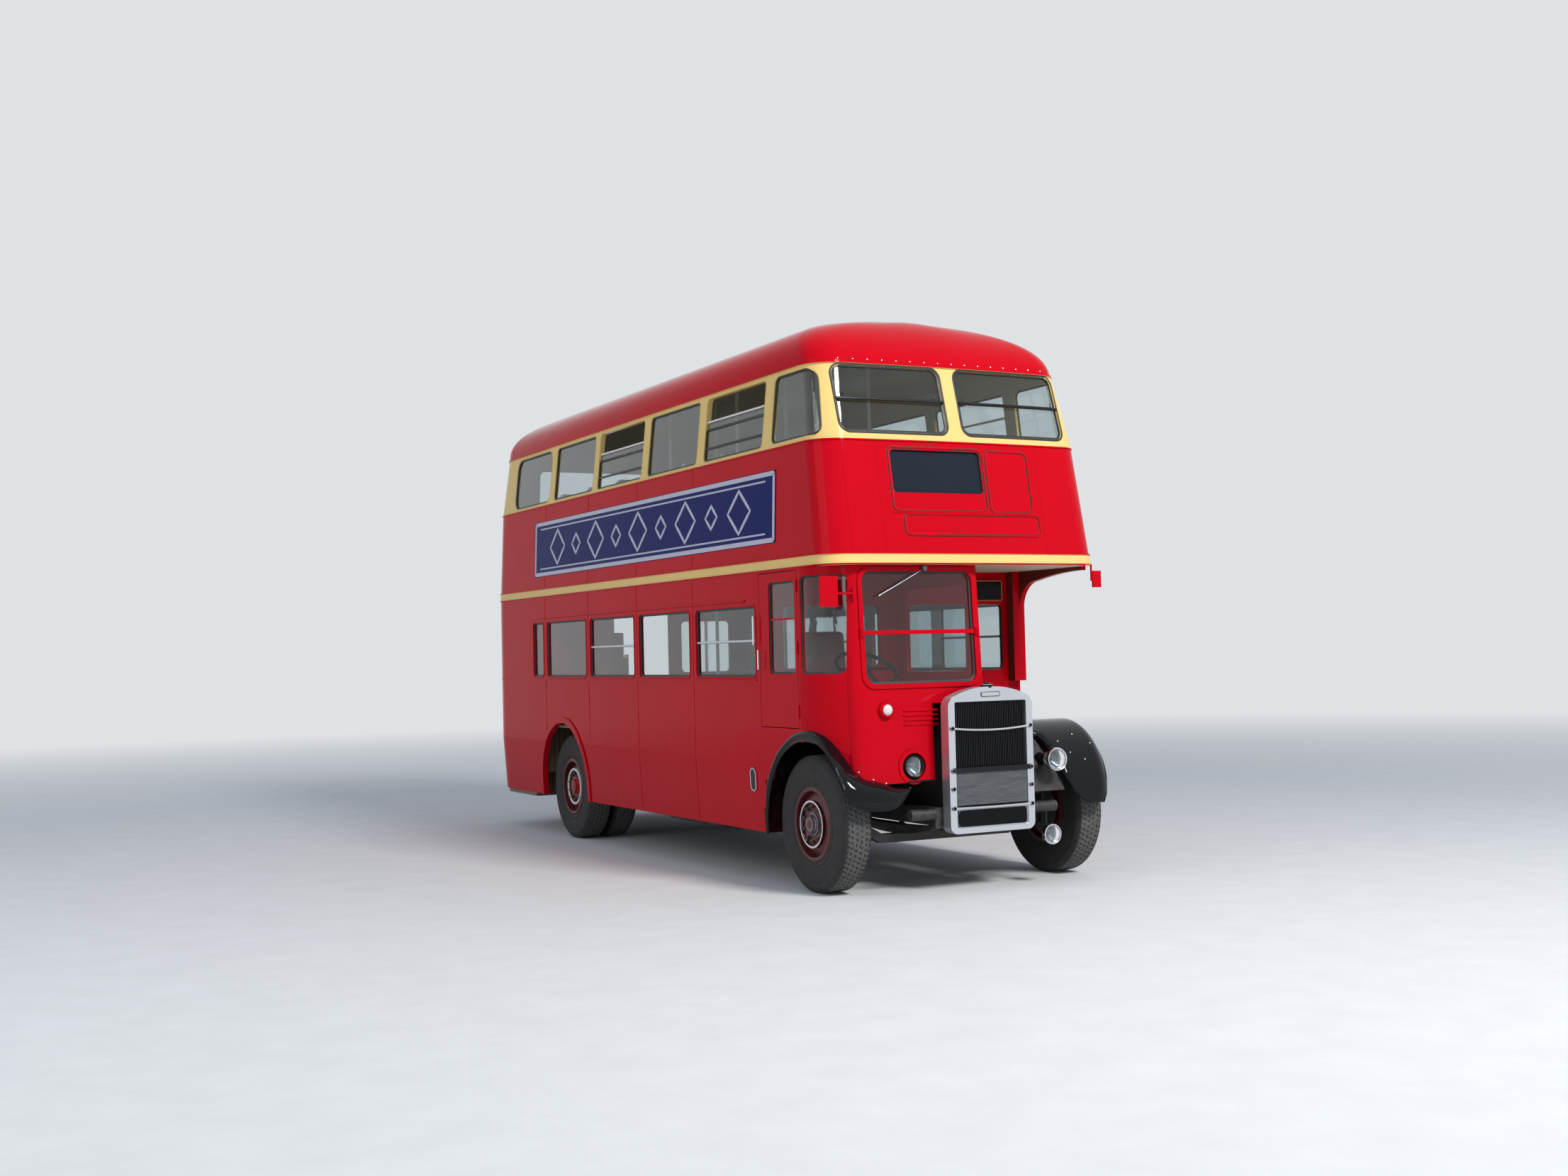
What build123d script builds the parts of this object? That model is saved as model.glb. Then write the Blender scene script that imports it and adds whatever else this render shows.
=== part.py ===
from build123d import *
import os
from math import cos, radians, sin

# Driving dimensions in millimetres. X runs across the bus, positive to the nearside.
# Y runs back from the front axle. Z runs up from the road.
LENGTH = 7925.0
WIDTH = 2438.0
HEIGHT = 4356.0
WHEELBASE = 4978.0
FRONT_OVERHANG = 700.0
SIDE_X = WIDTH / 2
BEAD = 12.0
REAR_Y = LENGTH - FRONT_OVERHANG - BEAD
WALL = 45.0
GLASS = 6.0
GLASS_DEPTH = 18.0

# Running gear
TYRE_R = 506.0
TYRE_W = 240.0
RIM_R = 270.0
HUB_Z = TYRE_R
FRONT_WHEEL_X = 1030.0
REAR_WHEEL_X = 875.0
TWIN_OFFSET = 135.0
KING_PIN_X = 840.0
KING_PIN_R = 20.0
STUB_ROOT_X = 900.0
STUB_R = 30.0
AXLE_STUB_R = 60.0
RUNNING_FIT = 0.1
STEER_ARM = 200.0
TRACK_ROD_Z = 340.0

# Heights
SKIRT_Z = 400.0
PLATFORM_Z = 400.0
FLOOR_Z = 660.0
FLOOR_T = 40.0
AXLE_FLOOR_Z = 770.0
DECK_LOW_Z = 2400.0
DECK_Z = 2500.0
GUTTER_Z = 3930.0

# Places along the bus
BULKHEAD_Y = 650.0
ARCH_REAR_Y = 600.0
SHELL_FRONT_Y = 300.0
PLATFORM_Y = 5870.0
REAR_PANEL_Y = 6600.0
PLATFORM_X = 250.0

# Cab
CAB_INNER_X = 75.0
CAB_FLOOR_Z = 1160.0
CAB_COVER_Z = 1420.0
APRON_Z = 808.0
APRON_LIP = 10.0
DOOR_Y = (20.0, 630.0)
DOOR_Z = (1215.0, 2380.0)
DOOR_GAP = 6.0
DOOR_HINGE = (-1222.0, 17.0)
DOOR_BARRELS_Z = ((1290.0, 1380.0), (1760.0, 1850.0), (2220.0, 2310.0))

# Plan outlines of the upper body, one row a level:
# height, half width, front, rear, front corner radius, rear corner radius, bow of the front
UPPER_LEVELS = (
    (DECK_LOW_Z, SIDE_X, -525.0, REAR_Y, 230.0, 500.0, 30.0),
    (3330.0, 1185.0, -362.0, REAR_Y - 25.0, 230.0, 500.0, 30.0),
    (GUTTER_Z, 1120.0, -200.0, REAR_Y - 95.0, 230.0, 500.0, 30.0),
)
# The dome's half width and rear shrink with height by one rounded arch, its front by a slacker one
ROOF_SHARES = (0.0, 0.36, 0.64, 0.84, 0.95)
ROOF_POWER = 2.6
FRONT_POWER = 1.5
ROOF_HALF = 1120.0
FRONT_DOME = (-200.0, 400.0)
REAR_DOME = (REAR_Y - 95.0, 5200.0)
LOWER_LEVELS = (
    (SKIRT_Z, 1190.0, SHELL_FRONT_Y, REAR_Y - 30.0, 20.0, 500.0, 1.0),
    (950.0, SIDE_X, SHELL_FRONT_Y, REAR_Y, 20.0, 500.0, 1.0),
    (DECK_LOW_Z, SIDE_X, SHELL_FRONT_Y, REAR_Y, 20.0, 500.0, 1.0),
)

# Windows as front, rear, sill and head, then corner radius
UPPER_SIDE_WINDOWS = (
    (-330.0, 450.0, 3365.0, 3885.0, 60.0),
    (600.0, 1660.0, 3360.0, 3885.0, 45.0),
    (1800.0, 2830.0, 3360.0, 3885.0, 45.0),
    (2970.0, 4030.0, 3360.0, 3885.0, 45.0),
    (4150.0, 5200.0, 3360.0, 3885.0, 45.0),
    (5330.0, 6400.0, 3360.0, 3885.0, 120.0),
)
OPEN_UPPER_WINDOWS = (1, 3)
OPEN_SILL_Z = 3690.0
LOWER_OFFSIDE_WINDOWS = (
    (710.0, 1790.0, 1595.0, 2140.0, 45.0),
    (1930.0, 2990.0, 1595.0, 2140.0, 45.0),
    (3120.0, 4180.0, 1595.0, 2140.0, 45.0),
    (4300.0, 5360.0, 1595.0, 2140.0, 45.0),
    (5480.0, 5770.0, 1595.0, 2140.0, 45.0),
)
LOWER_NEARSIDE_WINDOWS = LOWER_OFFSIDE_WINDOWS[:4]

# Raised bands round the upper deck: low edge, high edge, how far they stand out
UPPER_BELTS = (
    (DECK_LOW_Z, 2410.0, 11.0),
    (2408.0, 2478.0, 5.0),
    (2476.0, 2488.0, 11.0),
    (3322.0, 3334.0, 8.0),
    (3916.0, GUTTER_Z, BEAD),
)
WAIST_BELT = (1561.0, 1574.0, 7.0)

# Rails across the windows that slide, as the window's index and the rail's height
UPPER_RAILS = ((1, 3468.0), (1, OPEN_SILL_Z), (3, 3468.0), (3, OPEN_SILL_Z))
LOWER_RAILS = ((0, 1872.0), (2, 1872.0))
RAIL_T = 14.0


def block(x, y, z):
    """A box between pairs of low and high coordinates."""
    centre = Pos((x[0] + x[1]) / 2, (y[0] + y[1]) / 2, (z[0] + z[1]) / 2)
    return centre * Box(x[1] - x[0], y[1] - y[0], z[1] - z[0])


def rod_x(x, y, z, radius):
    """A round bar along X between two x coordinates."""
    middle = Pos((x[0] + x[1]) / 2, y, z)
    return middle * Rot(0, 90, 0) * Cylinder(radius, x[1] - x[0])


def rod_y(x, y, z, radius):
    """A round bar along Y between two y coordinates."""
    middle = Pos(x, (y[0] + y[1]) / 2, z)
    return middle * Rot(90, 0, 0) * Cylinder(radius, y[1] - y[0])


def rod_z(x, y, z, radius):
    """A round bar along Z between two z coordinates."""
    return Pos(x, y, (z[0] + z[1]) / 2) * Cylinder(radius, z[1] - z[0])


def mirrored(shape):
    """The same shape on the other side of the bus."""
    return mirror(shape, about=Plane.YZ)


def group(*shapes):
    """Several solids that share a node."""
    solids = [solid for shape in shapes for solid in shape.solids()]
    return Compound(children=solids)


def both_sides(shape):
    """A shape and its mirror image as the solids of one node."""
    return group(shape, mirrored(shape))


def side_profile(points, x):
    """A plate drawn in side view as (y, z) points and given its width along X."""
    face = Plane.YZ * make_face(Polyline(*points, close=True))
    return Pos(x[0], 0, 0) * extrude(face, x[1] - x[0], dir=(1, 0, 0))


def plan_outline(level, inset=0.0, drop=0.0):
    """A closed outline in plan: straight sides, round corners and a bowed front."""
    z, half, front, rear, front_r, rear_r, bow = level
    half -= inset
    front += inset
    rear -= inset
    front_r = max(front_r - inset, 5.0)
    rear_r = max(rear_r - inset, 5.0)
    turn = cos(radians(45))
    shoulder = front + bow
    front_mid = (half - front_r + front_r * turn, shoulder + front_r - front_r * turn)
    rear_mid = (half - rear_r + rear_r * turn, rear - rear_r + rear_r * turn)
    edges = [
        Line((-half, shoulder + front_r), (-half, rear - rear_r)),
        ThreePointArc(
            (-half, rear - rear_r), (-rear_mid[0], rear_mid[1]), (rear_r - half, rear)
        ),
        Line((rear_r - half, rear), (half - rear_r, rear)),
        ThreePointArc((half - rear_r, rear), rear_mid, (half, rear - rear_r)),
        Line((half, rear - rear_r), (half, shoulder + front_r)),
        ThreePointArc((half, shoulder + front_r), front_mid, (half - front_r, shoulder)),
        ThreePointArc((half - front_r, shoulder), (0, front), (front_r - half, shoulder)),
        ThreePointArc(
            (front_r - half, shoulder),
            (-front_mid[0], front_mid[1]),
            (-half, shoulder + front_r),
        ),
    ]
    return Pos(0, 0, z - drop) * make_face(edges)


def body_volume(levels, inset=0.0):
    """The space inside a set of plan outlines, drawn in by the inset."""
    return loft([plan_outline(level, inset) for level in levels], ruled=True)


def arch(share, power):
    """How far a rounded arch still reaches out at a share of its height."""
    return (1 - share**power) ** (1 / power)


def roof_level(share):
    """The dome's plan outline at a share of its height above the gutter."""
    reach = arch(share, ROOF_POWER)
    half = ROOF_HALF * reach
    front = FRONT_DOME[1] + (FRONT_DOME[0] - FRONT_DOME[1]) * arch(share, FRONT_POWER)
    rear = REAR_DOME[1] + (REAR_DOME[0] - REAR_DOME[1]) * reach
    front_r = min(230.0 + 200.0 * (1 - reach), half * 0.6)
    z = GUTTER_Z + (HEIGHT - GUTTER_Z) * share / ROOF_SHARES[-1]
    return (z, half, front, rear, front_r, min(500.0, half * 0.7), 30.0 + 30.0 * (1 - reach))


def roof_dome(wall=0.0):
    """The dome, or the hollow under it: each level drawn in and let down by the wall."""
    sections = [plan_outline(roof_level(share), wall, wall * share) for share in ROOF_SHARES]
    return loft(sections, ruled=True)


def belt(levels, z, proud):
    """A raised band round a body between two heights."""
    slab = block((-1400, 1400), (-900, REAR_Y + 100), z)
    return (body_volume(levels, -proud) - body_volume(levels, 1.0)) & slab


def side_cutter(window, nearside, reach=250.0):
    """A prism across one side of the bus with a window's rounded outline."""
    y_front, y_rear, z_low, z_high, radius = window
    x_start = SIDE_X - reach if nearside else -SIDE_X - 50
    centre = (x_start, (y_front + y_rear) / 2, (z_low + z_high) / 2)
    plane = Plane(origin=centre, x_dir=(0, 1, 0), z_dir=(1, 0, 0))
    outline = RectangleRounded(y_rear - y_front, z_high - z_low, radius)
    return extrude(plane * outline, reach + 50)


def end_cutter(x, z, radius, y):
    """A prism along Y with a rounded outline given by x and z ranges."""
    centre = ((x[0] + x[1]) / 2, y[0], (z[0] + z[1]) / 2)
    plane = Plane(origin=centre, x_dir=(1, 0, 0), z_dir=(0, -1, 0))
    outline = RectangleRounded(x[1] - x[0], z[1] - z[0], radius)
    return extrude(plane * outline, y[0] - y[1])


def wheel_arch(y, z, radius, nearside):
    """A round cutter for an arch opening in a side panel."""
    x = (500.0, SIDE_X + 50) if nearside else (-SIDE_X - 50, -500.0)
    hole = rod_x(x, y, z, radius)
    return hole + block(x, (y - radius, y + radius), (z - 400, z))


# Wheels, in a frame of their own with +X outwards
def ring(radii, x):
    """A round ring about X between two radii."""
    inner, outer = radii
    bar = rod_x(x, 0, 0, outer)
    if inner > 0:
        bar -= rod_x((x[0] - 1, x[1] + 1), 0, 0, inner)
    return bar


WHEEL_SIDES = 40


def turned(outline):
    """A many sided ring about X, a flat at its foot, from a closed outline of (x, radius) points."""
    half_turn = radians(180 / WHEEL_SIDES)
    rings = []
    for side in range(WHEEL_SIDES):
        angle = half_turn * (2 * side + 1)
        out = Vector(0, cos(angle), sin(angle)) / cos(half_turn)
        rings.append([Vector(x, 0, 0) + out * radius for x, radius in outline])
    faces = []
    for here, there in zip(rings, rings[1:] + rings[:1]):
        for corner in range(len(outline)):
            before = corner - 1
            edge = (here[before], here[corner], there[corner], there[before])
            faces.append(Face(Wire.make_polygon(edge, close=True)))
    return Solid(Shell(faces))


def tyre():
    """One tyre: round shoulders, upright walls and beads that seat on the rim."""
    half = TYRE_W / 2
    return turned((
        (-105, RIM_R), (-half, 330), (-half, 440), (-100, 492), (-78, TYRE_R),
        (78, TYRE_R), (100, 492), (half, 440), (half, 330), (105, RIM_R),
    ))


def front_wheel():
    """Rim, dished disc, nut guard ring and brake drum in one section, with a round hub."""
    wheel = turned((
        (60, 60), (60, 100), (86, 160), (50, 245), (-105, 245), (-105, RIM_R), (105, RIM_R),
        (105, 245), (64, 245), (95, 178), (122, 178), (122, 158), (100, 158), (100, 60),
    ))
    drum = turned((
        (-5, 60), (-5, 195), (-84, 195), (-84, 210), (7, 210), (7, 60),
    ))
    hub = ring((0, 80), (-88, 90)) + ring((0, 66), (85, 136))
    bore = ring((0, STUB_R + RUNNING_FIT), (-110, -15))
    return hub + wheel + drum - bore


def rear_wheels():
    """The two rims, the discs and the hub that carry a pair of twin tyres."""
    near, far = TWIN_OFFSET - 105, TWIN_OFFSET + 105
    inner_rim = turned((
        (31, 80), (31, 245), (near, RIM_R), (near, 255), (-near, 255), (-near, RIM_R),
        (-far, RIM_R), (-far, 245), (-31, 245), (-31, 80),
    ))
    outer_rim = turned((
        (198, 60), (198, 160), (168, 245), (31, 245), (near, RIM_R), (far, RIM_R), (far, 245),
        (182, 245), (208, 178), (232, 178), (232, 158), (212, 158), (212, 60),
    ))
    hub = ring((0, 100), (-120, 205)) + ring((0, 66), (200, 241))
    bore = ring((0, AXLE_STUB_R + RUNNING_FIT), (-130, -20))
    return hub + inner_rim + outer_rim - bore


def at_wheel(shape, x, y, nearside):
    """A wheel piece set at its hub, facing outwards."""
    placed = Pos(x, y, HUB_Z) * shape
    return placed if nearside else mirrored(placed)


# Front axle
def axle_beam():
    """A dropped beam with spring pads and an eye for each king pin."""
    points = (
        (-820, 470), (-700, 470), (-580, 400), (580, 400), (700, 470), (820, 470),
        (820, 540), (690, 540), (560, 465), (-560, 465), (-690, 540), (-820, 540),
    )
    points = tuple((x, z - 70) for x, z in points)
    face = Plane.XZ * make_face(Polyline(*points, close=True))
    return Pos(0, 40, 0) * extrude(face, 80, dir=(0, -1, 0))


def king_pin_yoke():
    """The beam's end: an upright boss that the king pin goes through."""
    boss = rod_z(KING_PIN_X, 0, (400, 610), 38) + block((780, 860), (-35, 35), (405, 470))
    return boss - rod_z(KING_PIN_X, 0, (390, 620), KING_PIN_R + RUNNING_FIT)


def knuckle():
    """Stub axle, back plate, king pin straps and steering arm of one front wheel."""
    root = STUB_ROOT_X
    straps = block((root - 95, root + 30), (-32, 32), (368, 392))
    straps += block((root - 95, root + 30), (-32, 32), (618, 642))
    upright = block((root, root + 30), (-40, 40), (368, 642))
    pin = rod_z(KING_PIN_X, 0, (360, 652), KING_PIN_R)
    stub = rod_x((root + 20, FRONT_WHEEL_X - 20), 0, HUB_Z, STUB_R)
    plate = rod_x((root + 24, root + 30), 0, HUB_Z, 188)
    arm = block((KING_PIN_X - 20, KING_PIN_X + 20), (20, STEER_ARM), (368, 388))
    eye = rod_z(KING_PIN_X, STEER_ARM, (368, 388), 30)
    return straps + upright + pin + stub + plate + arm + eye


def track_rod():
    """The rod that joins the two steering arms, under their eyes."""
    rod = rod_x((-KING_PIN_X, KING_PIN_X), STEER_ARM, TRACK_ROD_Z, 16)
    for x in (-KING_PIN_X, KING_PIN_X):
        rod += rod_z(x, STEER_ARM, (TRACK_ROD_Z - 22, TRACK_ROD_Z + 22), 26)
    return rod


def leaf_spring(x, y_mid, half_length, z_mid, rise):
    """A bowed pack of leaves with its ends up under the frame."""
    top = ThreePointArc(
        (y_mid - half_length, z_mid + rise), (y_mid, z_mid + 35), (y_mid + half_length, z_mid + rise)
    )
    low = ThreePointArc(
        (y_mid + half_length, z_mid + rise - 18), (y_mid, z_mid - 35),
        (y_mid - half_length, z_mid + rise - 18),
    )
    ends = (
        Line(top @ 1, low @ 0),
        Line(low @ 1, top @ 0),
    )
    face = Plane.YZ * make_face([top, ends[0], low, ends[1]])
    return Pos(x - 35, 0, 0) * extrude(face, 70, dir=(1, 0, 0))


# Chassis
RAIL_X = (365.0, 435.0)
CROSS_MEMBERS_Y = (-545.0, 700.0, 1150.0, 2250.0, 3300.0, 4250.0, 5680.0)


def chassis_frame():
    """Two side rails that rise over the rear axle and drop to the platform."""
    low, high = 490.0, FLOOR_Z - FLOOR_T
    rise = AXLE_FLOOR_Z - FLOOR_Z
    points = (
        (-575, low), (4300, low), (4500, low + rise), (5450, low + rise), (5560, low + rise - 60),
        (5640, 260), (7100, 260), (7100, 360), (5790, 360), (5790, high), (5600, high),
        (5560, high + rise), (4400, high + rise), (4200, high), (-575, high),
    )
    frame = side_profile(points, RAIL_X)
    frame += mirrored(frame)
    for y in CROSS_MEMBERS_Y:
        frame += block((-RAIL_X[1], RAIL_X[1]), (y - 30, y + 30), (low + 40, high))
    frame += block((-RAIL_X[1], RAIL_X[1]), (7000, 7060), (280, 360))
    for stub in front_tube().solids():
        frame += stub
    return frame


def front_tube():
    """The stub tubes that show on each side of the radiator."""
    return both_sides(rod_x((RAIL_X[1], 645), -556, 575, 42))


def engine_block():
    """The engine as one plain block."""
    return block((-270, 270), (-470, 520), (515, 1290))


def drive_line():
    """Gearbox and propeller shafts, from the engine to the rear axle."""
    z = 430.0
    axle_nose_y = WHEELBASE - 230
    shaft = rod_y(0, (520, 1420), z + 60, 40)
    shaft += block((-190, 190), (1400, 1980), (330, 520))
    shaft += rod_y(0, (1960, axle_nose_y), z + 40, 45)
    return shaft


JACK_PAD_X = 250.0
JACK_PAD_Z = 380.0


def jack_pads(y, top_z):
    """A flat pad under each end of an axle."""
    x = (JACK_PAD_X - 45, JACK_PAD_X + 45)
    pad = block(x, (y - 40, y + 40), (JACK_PAD_Z, top_z))
    return pad + mirrored(pad)


def rear_axle():
    """Axle casing with its banjo, jacking pads and a stub for each pair of wheels."""
    tube = rod_x((-610, 610), WHEELBASE, HUB_Z, 72)
    banjo = rod_x((-120, 120), WHEELBASE, HUB_Z, 185)
    nose = rod_y(0, (WHEELBASE - 230, WHEELBASE), HUB_Z - 36, 70)
    axle = tube + banjo + nose
    for side in (-1, 1):
        ends = sorted((side * 600.0, side * (REAR_WHEEL_X - 30)))
        axle += rod_x(ends, WHEELBASE, HUB_Z, AXLE_STUB_R)
    return axle + jack_pads(WHEELBASE, HUB_Z)


def exhaust():
    """Pipe and silencer along the offside, with two hangers to the floor."""
    z = 400.0
    route = FilletPolyline(
        (-170, 300, z), (-170, 950, z), (-760, 1250, z), (-760, 4120, z), (-1120, 4260, z),
        radius=160,
    )
    start = Plane(origin=route @ 0, z_dir=route % 0)
    pipe = sweep(start * Circle(34), path=route)
    pipe += rod_y(-760, (2200, 3300), z, 110)
    for y in (2350, 3150):
        pipe += block((-780, -740), (y - 8, y + 8), (z + 60, FLOOR_Z - FLOOR_T))
    pipe += block((-190, -150), (320, 336), (z, 515))
    return pipe


def fuel_tank():
    """Fuel tank under the nearside of the floor."""
    return fillet(
        block((500, 1090), (2200, 3350), (340, FLOOR_Z - FLOOR_T)).edges().filter_by(Axis.Y), 45
    )


def battery_box():
    """Battery box under the nearside of the floor."""
    return block((520, 1080), (1200, 1800), (350, FLOOR_Z - FLOOR_T))


# Lower deck
REAR_ARCH_R = 610.0
ARCH_LIP_R = 672.0
FILLER = (760.0, 840.0, 715.0, 880.0, 38.0)


def grown(window, edge):
    """A window's outline drawn out by an edge all round."""
    low_y, high_y, low_z, high_z, radius = window
    return (low_y - edge, high_y + edge, low_z - edge, high_z + edge, radius + edge)


def window_rails(levels, windows, rails, nearside=None):
    """Thin metal rails across the sliding windows, in the plane of the glass."""
    skin = body_volume(levels, GLASS_DEPTH - 7) - body_volume(levels, GLASS_DEPTH + GLASS + 7)
    made = []
    for index, z in rails:
        y_front, y_rear = windows[index][:2]
        slab = skin & block((-1300, 1300), (y_front - 1, y_rear + 1), (z - RAIL_T / 2, z + RAIL_T / 2))
        made += [solid for solid in slab.solids()]
    return made


def filler_recess(shell):
    """A framed slot in the offside skirt for the fuel filler."""
    proud = body_volume(LOWER_LEVELS, -6.0)
    frame = (proud - body_volume(LOWER_LEVELS, 1.0)) & side_cutter(grown(FILLER, 12.0), False)
    slot = (proud - body_volume(LOWER_LEVELS, 25.0)) & side_cutter(FILLER, False)
    return shell + frame - slot


def lower_shell():
    """Skirt, waist and window walls of the lower deck as one hollow band."""
    shell = body_volume(LOWER_LEVELS) - body_volume(LOWER_LEVELS, WALL)
    shell += belt(LOWER_LEVELS, WAIST_BELT[:2], WAIST_BELT[2])
    lip = body_volume(LOWER_LEVELS, -BEAD) - body_volume(LOWER_LEVELS, 1.0)
    for nearside in (False, True):
        shell += lip & wheel_arch(WHEELBASE, HUB_Z + 20, ARCH_LIP_R, nearside)
        shell -= wheel_arch(WHEELBASE, HUB_Z + 20, REAR_ARCH_R, nearside)
    for window in LOWER_OFFSIDE_WINDOWS:
        shell -= side_cutter(window, False)
    for window in LOWER_NEARSIDE_WINDOWS:
        shell -= side_cutter(window, True)
    for rail in window_rails(LOWER_LEVELS, LOWER_OFFSIDE_WINDOWS, LOWER_RAILS):
        shell += rail
    return filler_recess(shell)


REAR_LOWER_WINDOW = ((-640.0, 120.0), (1450.0, 2140.0), 60.0)
PLATFORM_HEAD_Z = 2290.0


def lower_walls():
    """The lower deck's band cut where its panels meet."""
    shell = lower_shell()
    front = BULKHEAD_Y + WALL
    high = (0.0, DECK_LOW_Z + 10)
    offside = shell & block((-1300, 0), (front, REAR_PANEL_Y), high)
    nearside = shell & block((0, 1300), (front, PLATFORM_Y), high)
    rear = shell & (
        block((-1300, PLATFORM_X), (REAR_PANEL_Y, REAR_Y + 50), high)
        + block((0, 1300), (PLATFORM_Y, REAR_Y + 50), (PLATFORM_HEAD_Z, DECK_LOW_Z + 10))
    )
    rear -= end_cutter(*REAR_LOWER_WINDOW, (REAR_Y - 200, REAR_Y + 100))
    return offside, nearside, rear


def canopy_valance():
    """The curved panel from the nearside pillar up under the canopy's edge."""
    root, tip = (560, 2044), (-278, 2370)
    knee = (338, 2316)
    edges = [
        ThreePointArc(root, (512, 2232), knee),
        ThreePointArc(knee, (78, 2353), tip),
        Line(tip, (tip[0], DECK_LOW_Z)),
        Line((tip[0], DECK_LOW_Z), (BULKHEAD_Y, DECK_LOW_Z)),
        Line((BULKHEAD_Y, DECK_LOW_Z), (BULKHEAD_Y, root[1])),
        Line((BULKHEAD_Y, root[1]), root),
    ]
    panel = extrude(Plane.YZ * make_face(edges), WALL, dir=(1, 0, 0))
    pillar = block((1107, SIDE_X), (560, BULKHEAD_Y), (1500, DECK_LOW_Z))
    return Pos(SIDE_X - WALL, 0, 0) * panel + pillar


NUMBER_BOX = ((715.0, 1044.0), (2160.0, 2335.0))


def number_box():
    """The blank display box over the nearside bulkhead window."""
    x, z = NUMBER_BOX
    y = (BULKHEAD_Y - 30, BULKHEAD_Y)
    box = end_cutter(x, z, 25, y)
    return box - end_cutter((x[0] + 12, x[1] - 12), (z[0] + 12, z[1] - 12), 14, (y[0] - 5, y[0] + 12))


def side_handle(y, z, reach=34.0, radius=8.0):
    """An upright grab handle on two stalks, on the offside."""
    x = -SIDE_X - reach
    bar = rod_z(x, y, z, radius)
    for end in (z[0] + radius, z[1] - radius):
        bar += rod_x((x, -SIDE_X + 3), y, end, radius)
    return bar


def bulkheads():
    """Front bulkhead with its two windows, and the partition before the platform."""
    y = (BULKHEAD_Y, BULKHEAD_Y + WALL)
    section = block((-1300, 1300), y, (0, DECK_LOW_Z))
    section += block((-1300, 1300), (ARCH_REAR_Y, y[0]), (0, APRON_Z))
    front = body_volume(LOWER_LEVELS) & section
    front -= block((-600, 600), (ARCH_REAR_Y - 5, y[1] + 5), (0, FLOOR_Z - FLOOR_T))
    front -= end_cutter((130.0, 1055.0), (1595.0, 2135.0), 45, (y[0] - 20, y[1] + 20))
    front -= end_cutter((-1000.0, -130.0), (1650.0, 2135.0), 45, (y[0] - 20, y[1] + 20))
    front += canopy_valance()
    front += number_box()
    front += side_handle(BULKHEAD_Y + 22, (1840, 2060))
    inner = body_volume(LOWER_LEVELS, WALL)
    rear = block((-1300, 1300), (PLATFORM_Y - 45, PLATFORM_Y), (FLOOR_Z, DECK_LOW_Z)) & inner
    rear -= block((-340, 340), (PLATFORM_Y - 100, PLATFORM_Y + 50), (0, 2500))
    rear -= end_cutter((480.0, 1060.0), (1595.0, 2140.0), 45, (PLATFORM_Y - 60, PLATFORM_Y + 20))
    return group(front, rear)


def lower_floor():
    """Saloon floor, raised over the rear axle, the wheel boxes and the platform."""
    inner = body_volume(LOWER_LEVELS, WALL)
    outer = body_volume(LOWER_LEVELS)
    front = BULKHEAD_Y + WALL
    low = FLOOR_Z - FLOOR_T
    points = (
        (front, low), (4200, low), (4400, AXLE_FLOOR_Z - FLOOR_T), (5560, AXLE_FLOOR_Z - FLOOR_T),
        (5600, low), (5830, low), (5830, PLATFORM_Z - FLOOR_T), (REAR_Y, PLATFORM_Z - FLOOR_T),
        (REAR_Y, PLATFORM_Z), (PLATFORM_Y, PLATFORM_Z), (PLATFORM_Y, FLOOR_Z), (5640, FLOOR_Z),
        (5600, AXLE_FLOOR_Z), (4380, AXLE_FLOOR_Z), (4180, FLOOR_Z), (front, FLOOR_Z),
    )
    slab = side_profile(points, (-1300, 1300))
    floor = slab & inner
    floor += slab & outer & block((PLATFORM_X, 1300), (PLATFORM_Y, REAR_Y), (0, 500))
    for side in (-1, 1):
        x = sorted((side * 585.0, side * 1300.0))
        well = block(x, (4345, 5625), (0, 1110)) & inner
        hollow = block(sorted((side * 610.0, side * 1300.0)), (4370, 5600), (0, 1085))
        floor -= block(x, (4345, 5600), (0, 1110))
        floor += well & block(x, (4345, 5625), (low, 1110))
        floor -= hollow
    return floor


NEWEL = (-520.0, 6500.0)
STEPS = 8
STEP_START = 110.0
STEP_TURN = 26.0
STEP_REACH = 610.0
TREAD_T = 30.0
RISER_TURN = 2.5


def stair_wedge(start, turn):
    """A wedge in plan that starts at an angle about the newel and turns clockwise."""
    a, b = radians(start), radians(start - turn)
    points = (
        (0, 0),
        (STEP_REACH * cos(a), STEP_REACH * sin(a)),
        (STEP_REACH * cos(b), STEP_REACH * sin(b)),
    )
    return make_face(Polyline(*points, close=True))


def staircase():
    """Treads and risers that wind up from the platform to the upper deck round a newel."""
    rise = (DECK_Z - PLATFORM_Z) / (STEPS + 1)
    stairs = rod_z(*NEWEL, (PLATFORM_Z, DECK_LOW_Z), 30)
    for step in range(STEPS):
        top = PLATFORM_Z + rise * (step + 1)
        start = STEP_START - step * STEP_TURN
        stairs += Pos(*NEWEL, top - TREAD_T) * extrude(stair_wedge(start, STEP_TURN * 1.1), TREAD_T)
        stairs += Pos(*NEWEL, top - rise) * extrude(stair_wedge(start, RISER_TURN), rise)
    return stairs


# Upper deck
REAR_UPPER_WINDOW = ((-640.0, 640.0), (3340.0, 3880.0), 70.0)
FRONT_UPPER_WINDOWS = (
    ((-1030.0, -60.0), (3390.0, 3900.0), 70.0),
    ((20.0, 1030.0), (3390.0, 3900.0), 70.0),
)
STAIRWELL = ((-1150.0, -420.0), (5750.0, 7050.0))
SEAM_X = 1050.0


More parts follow.
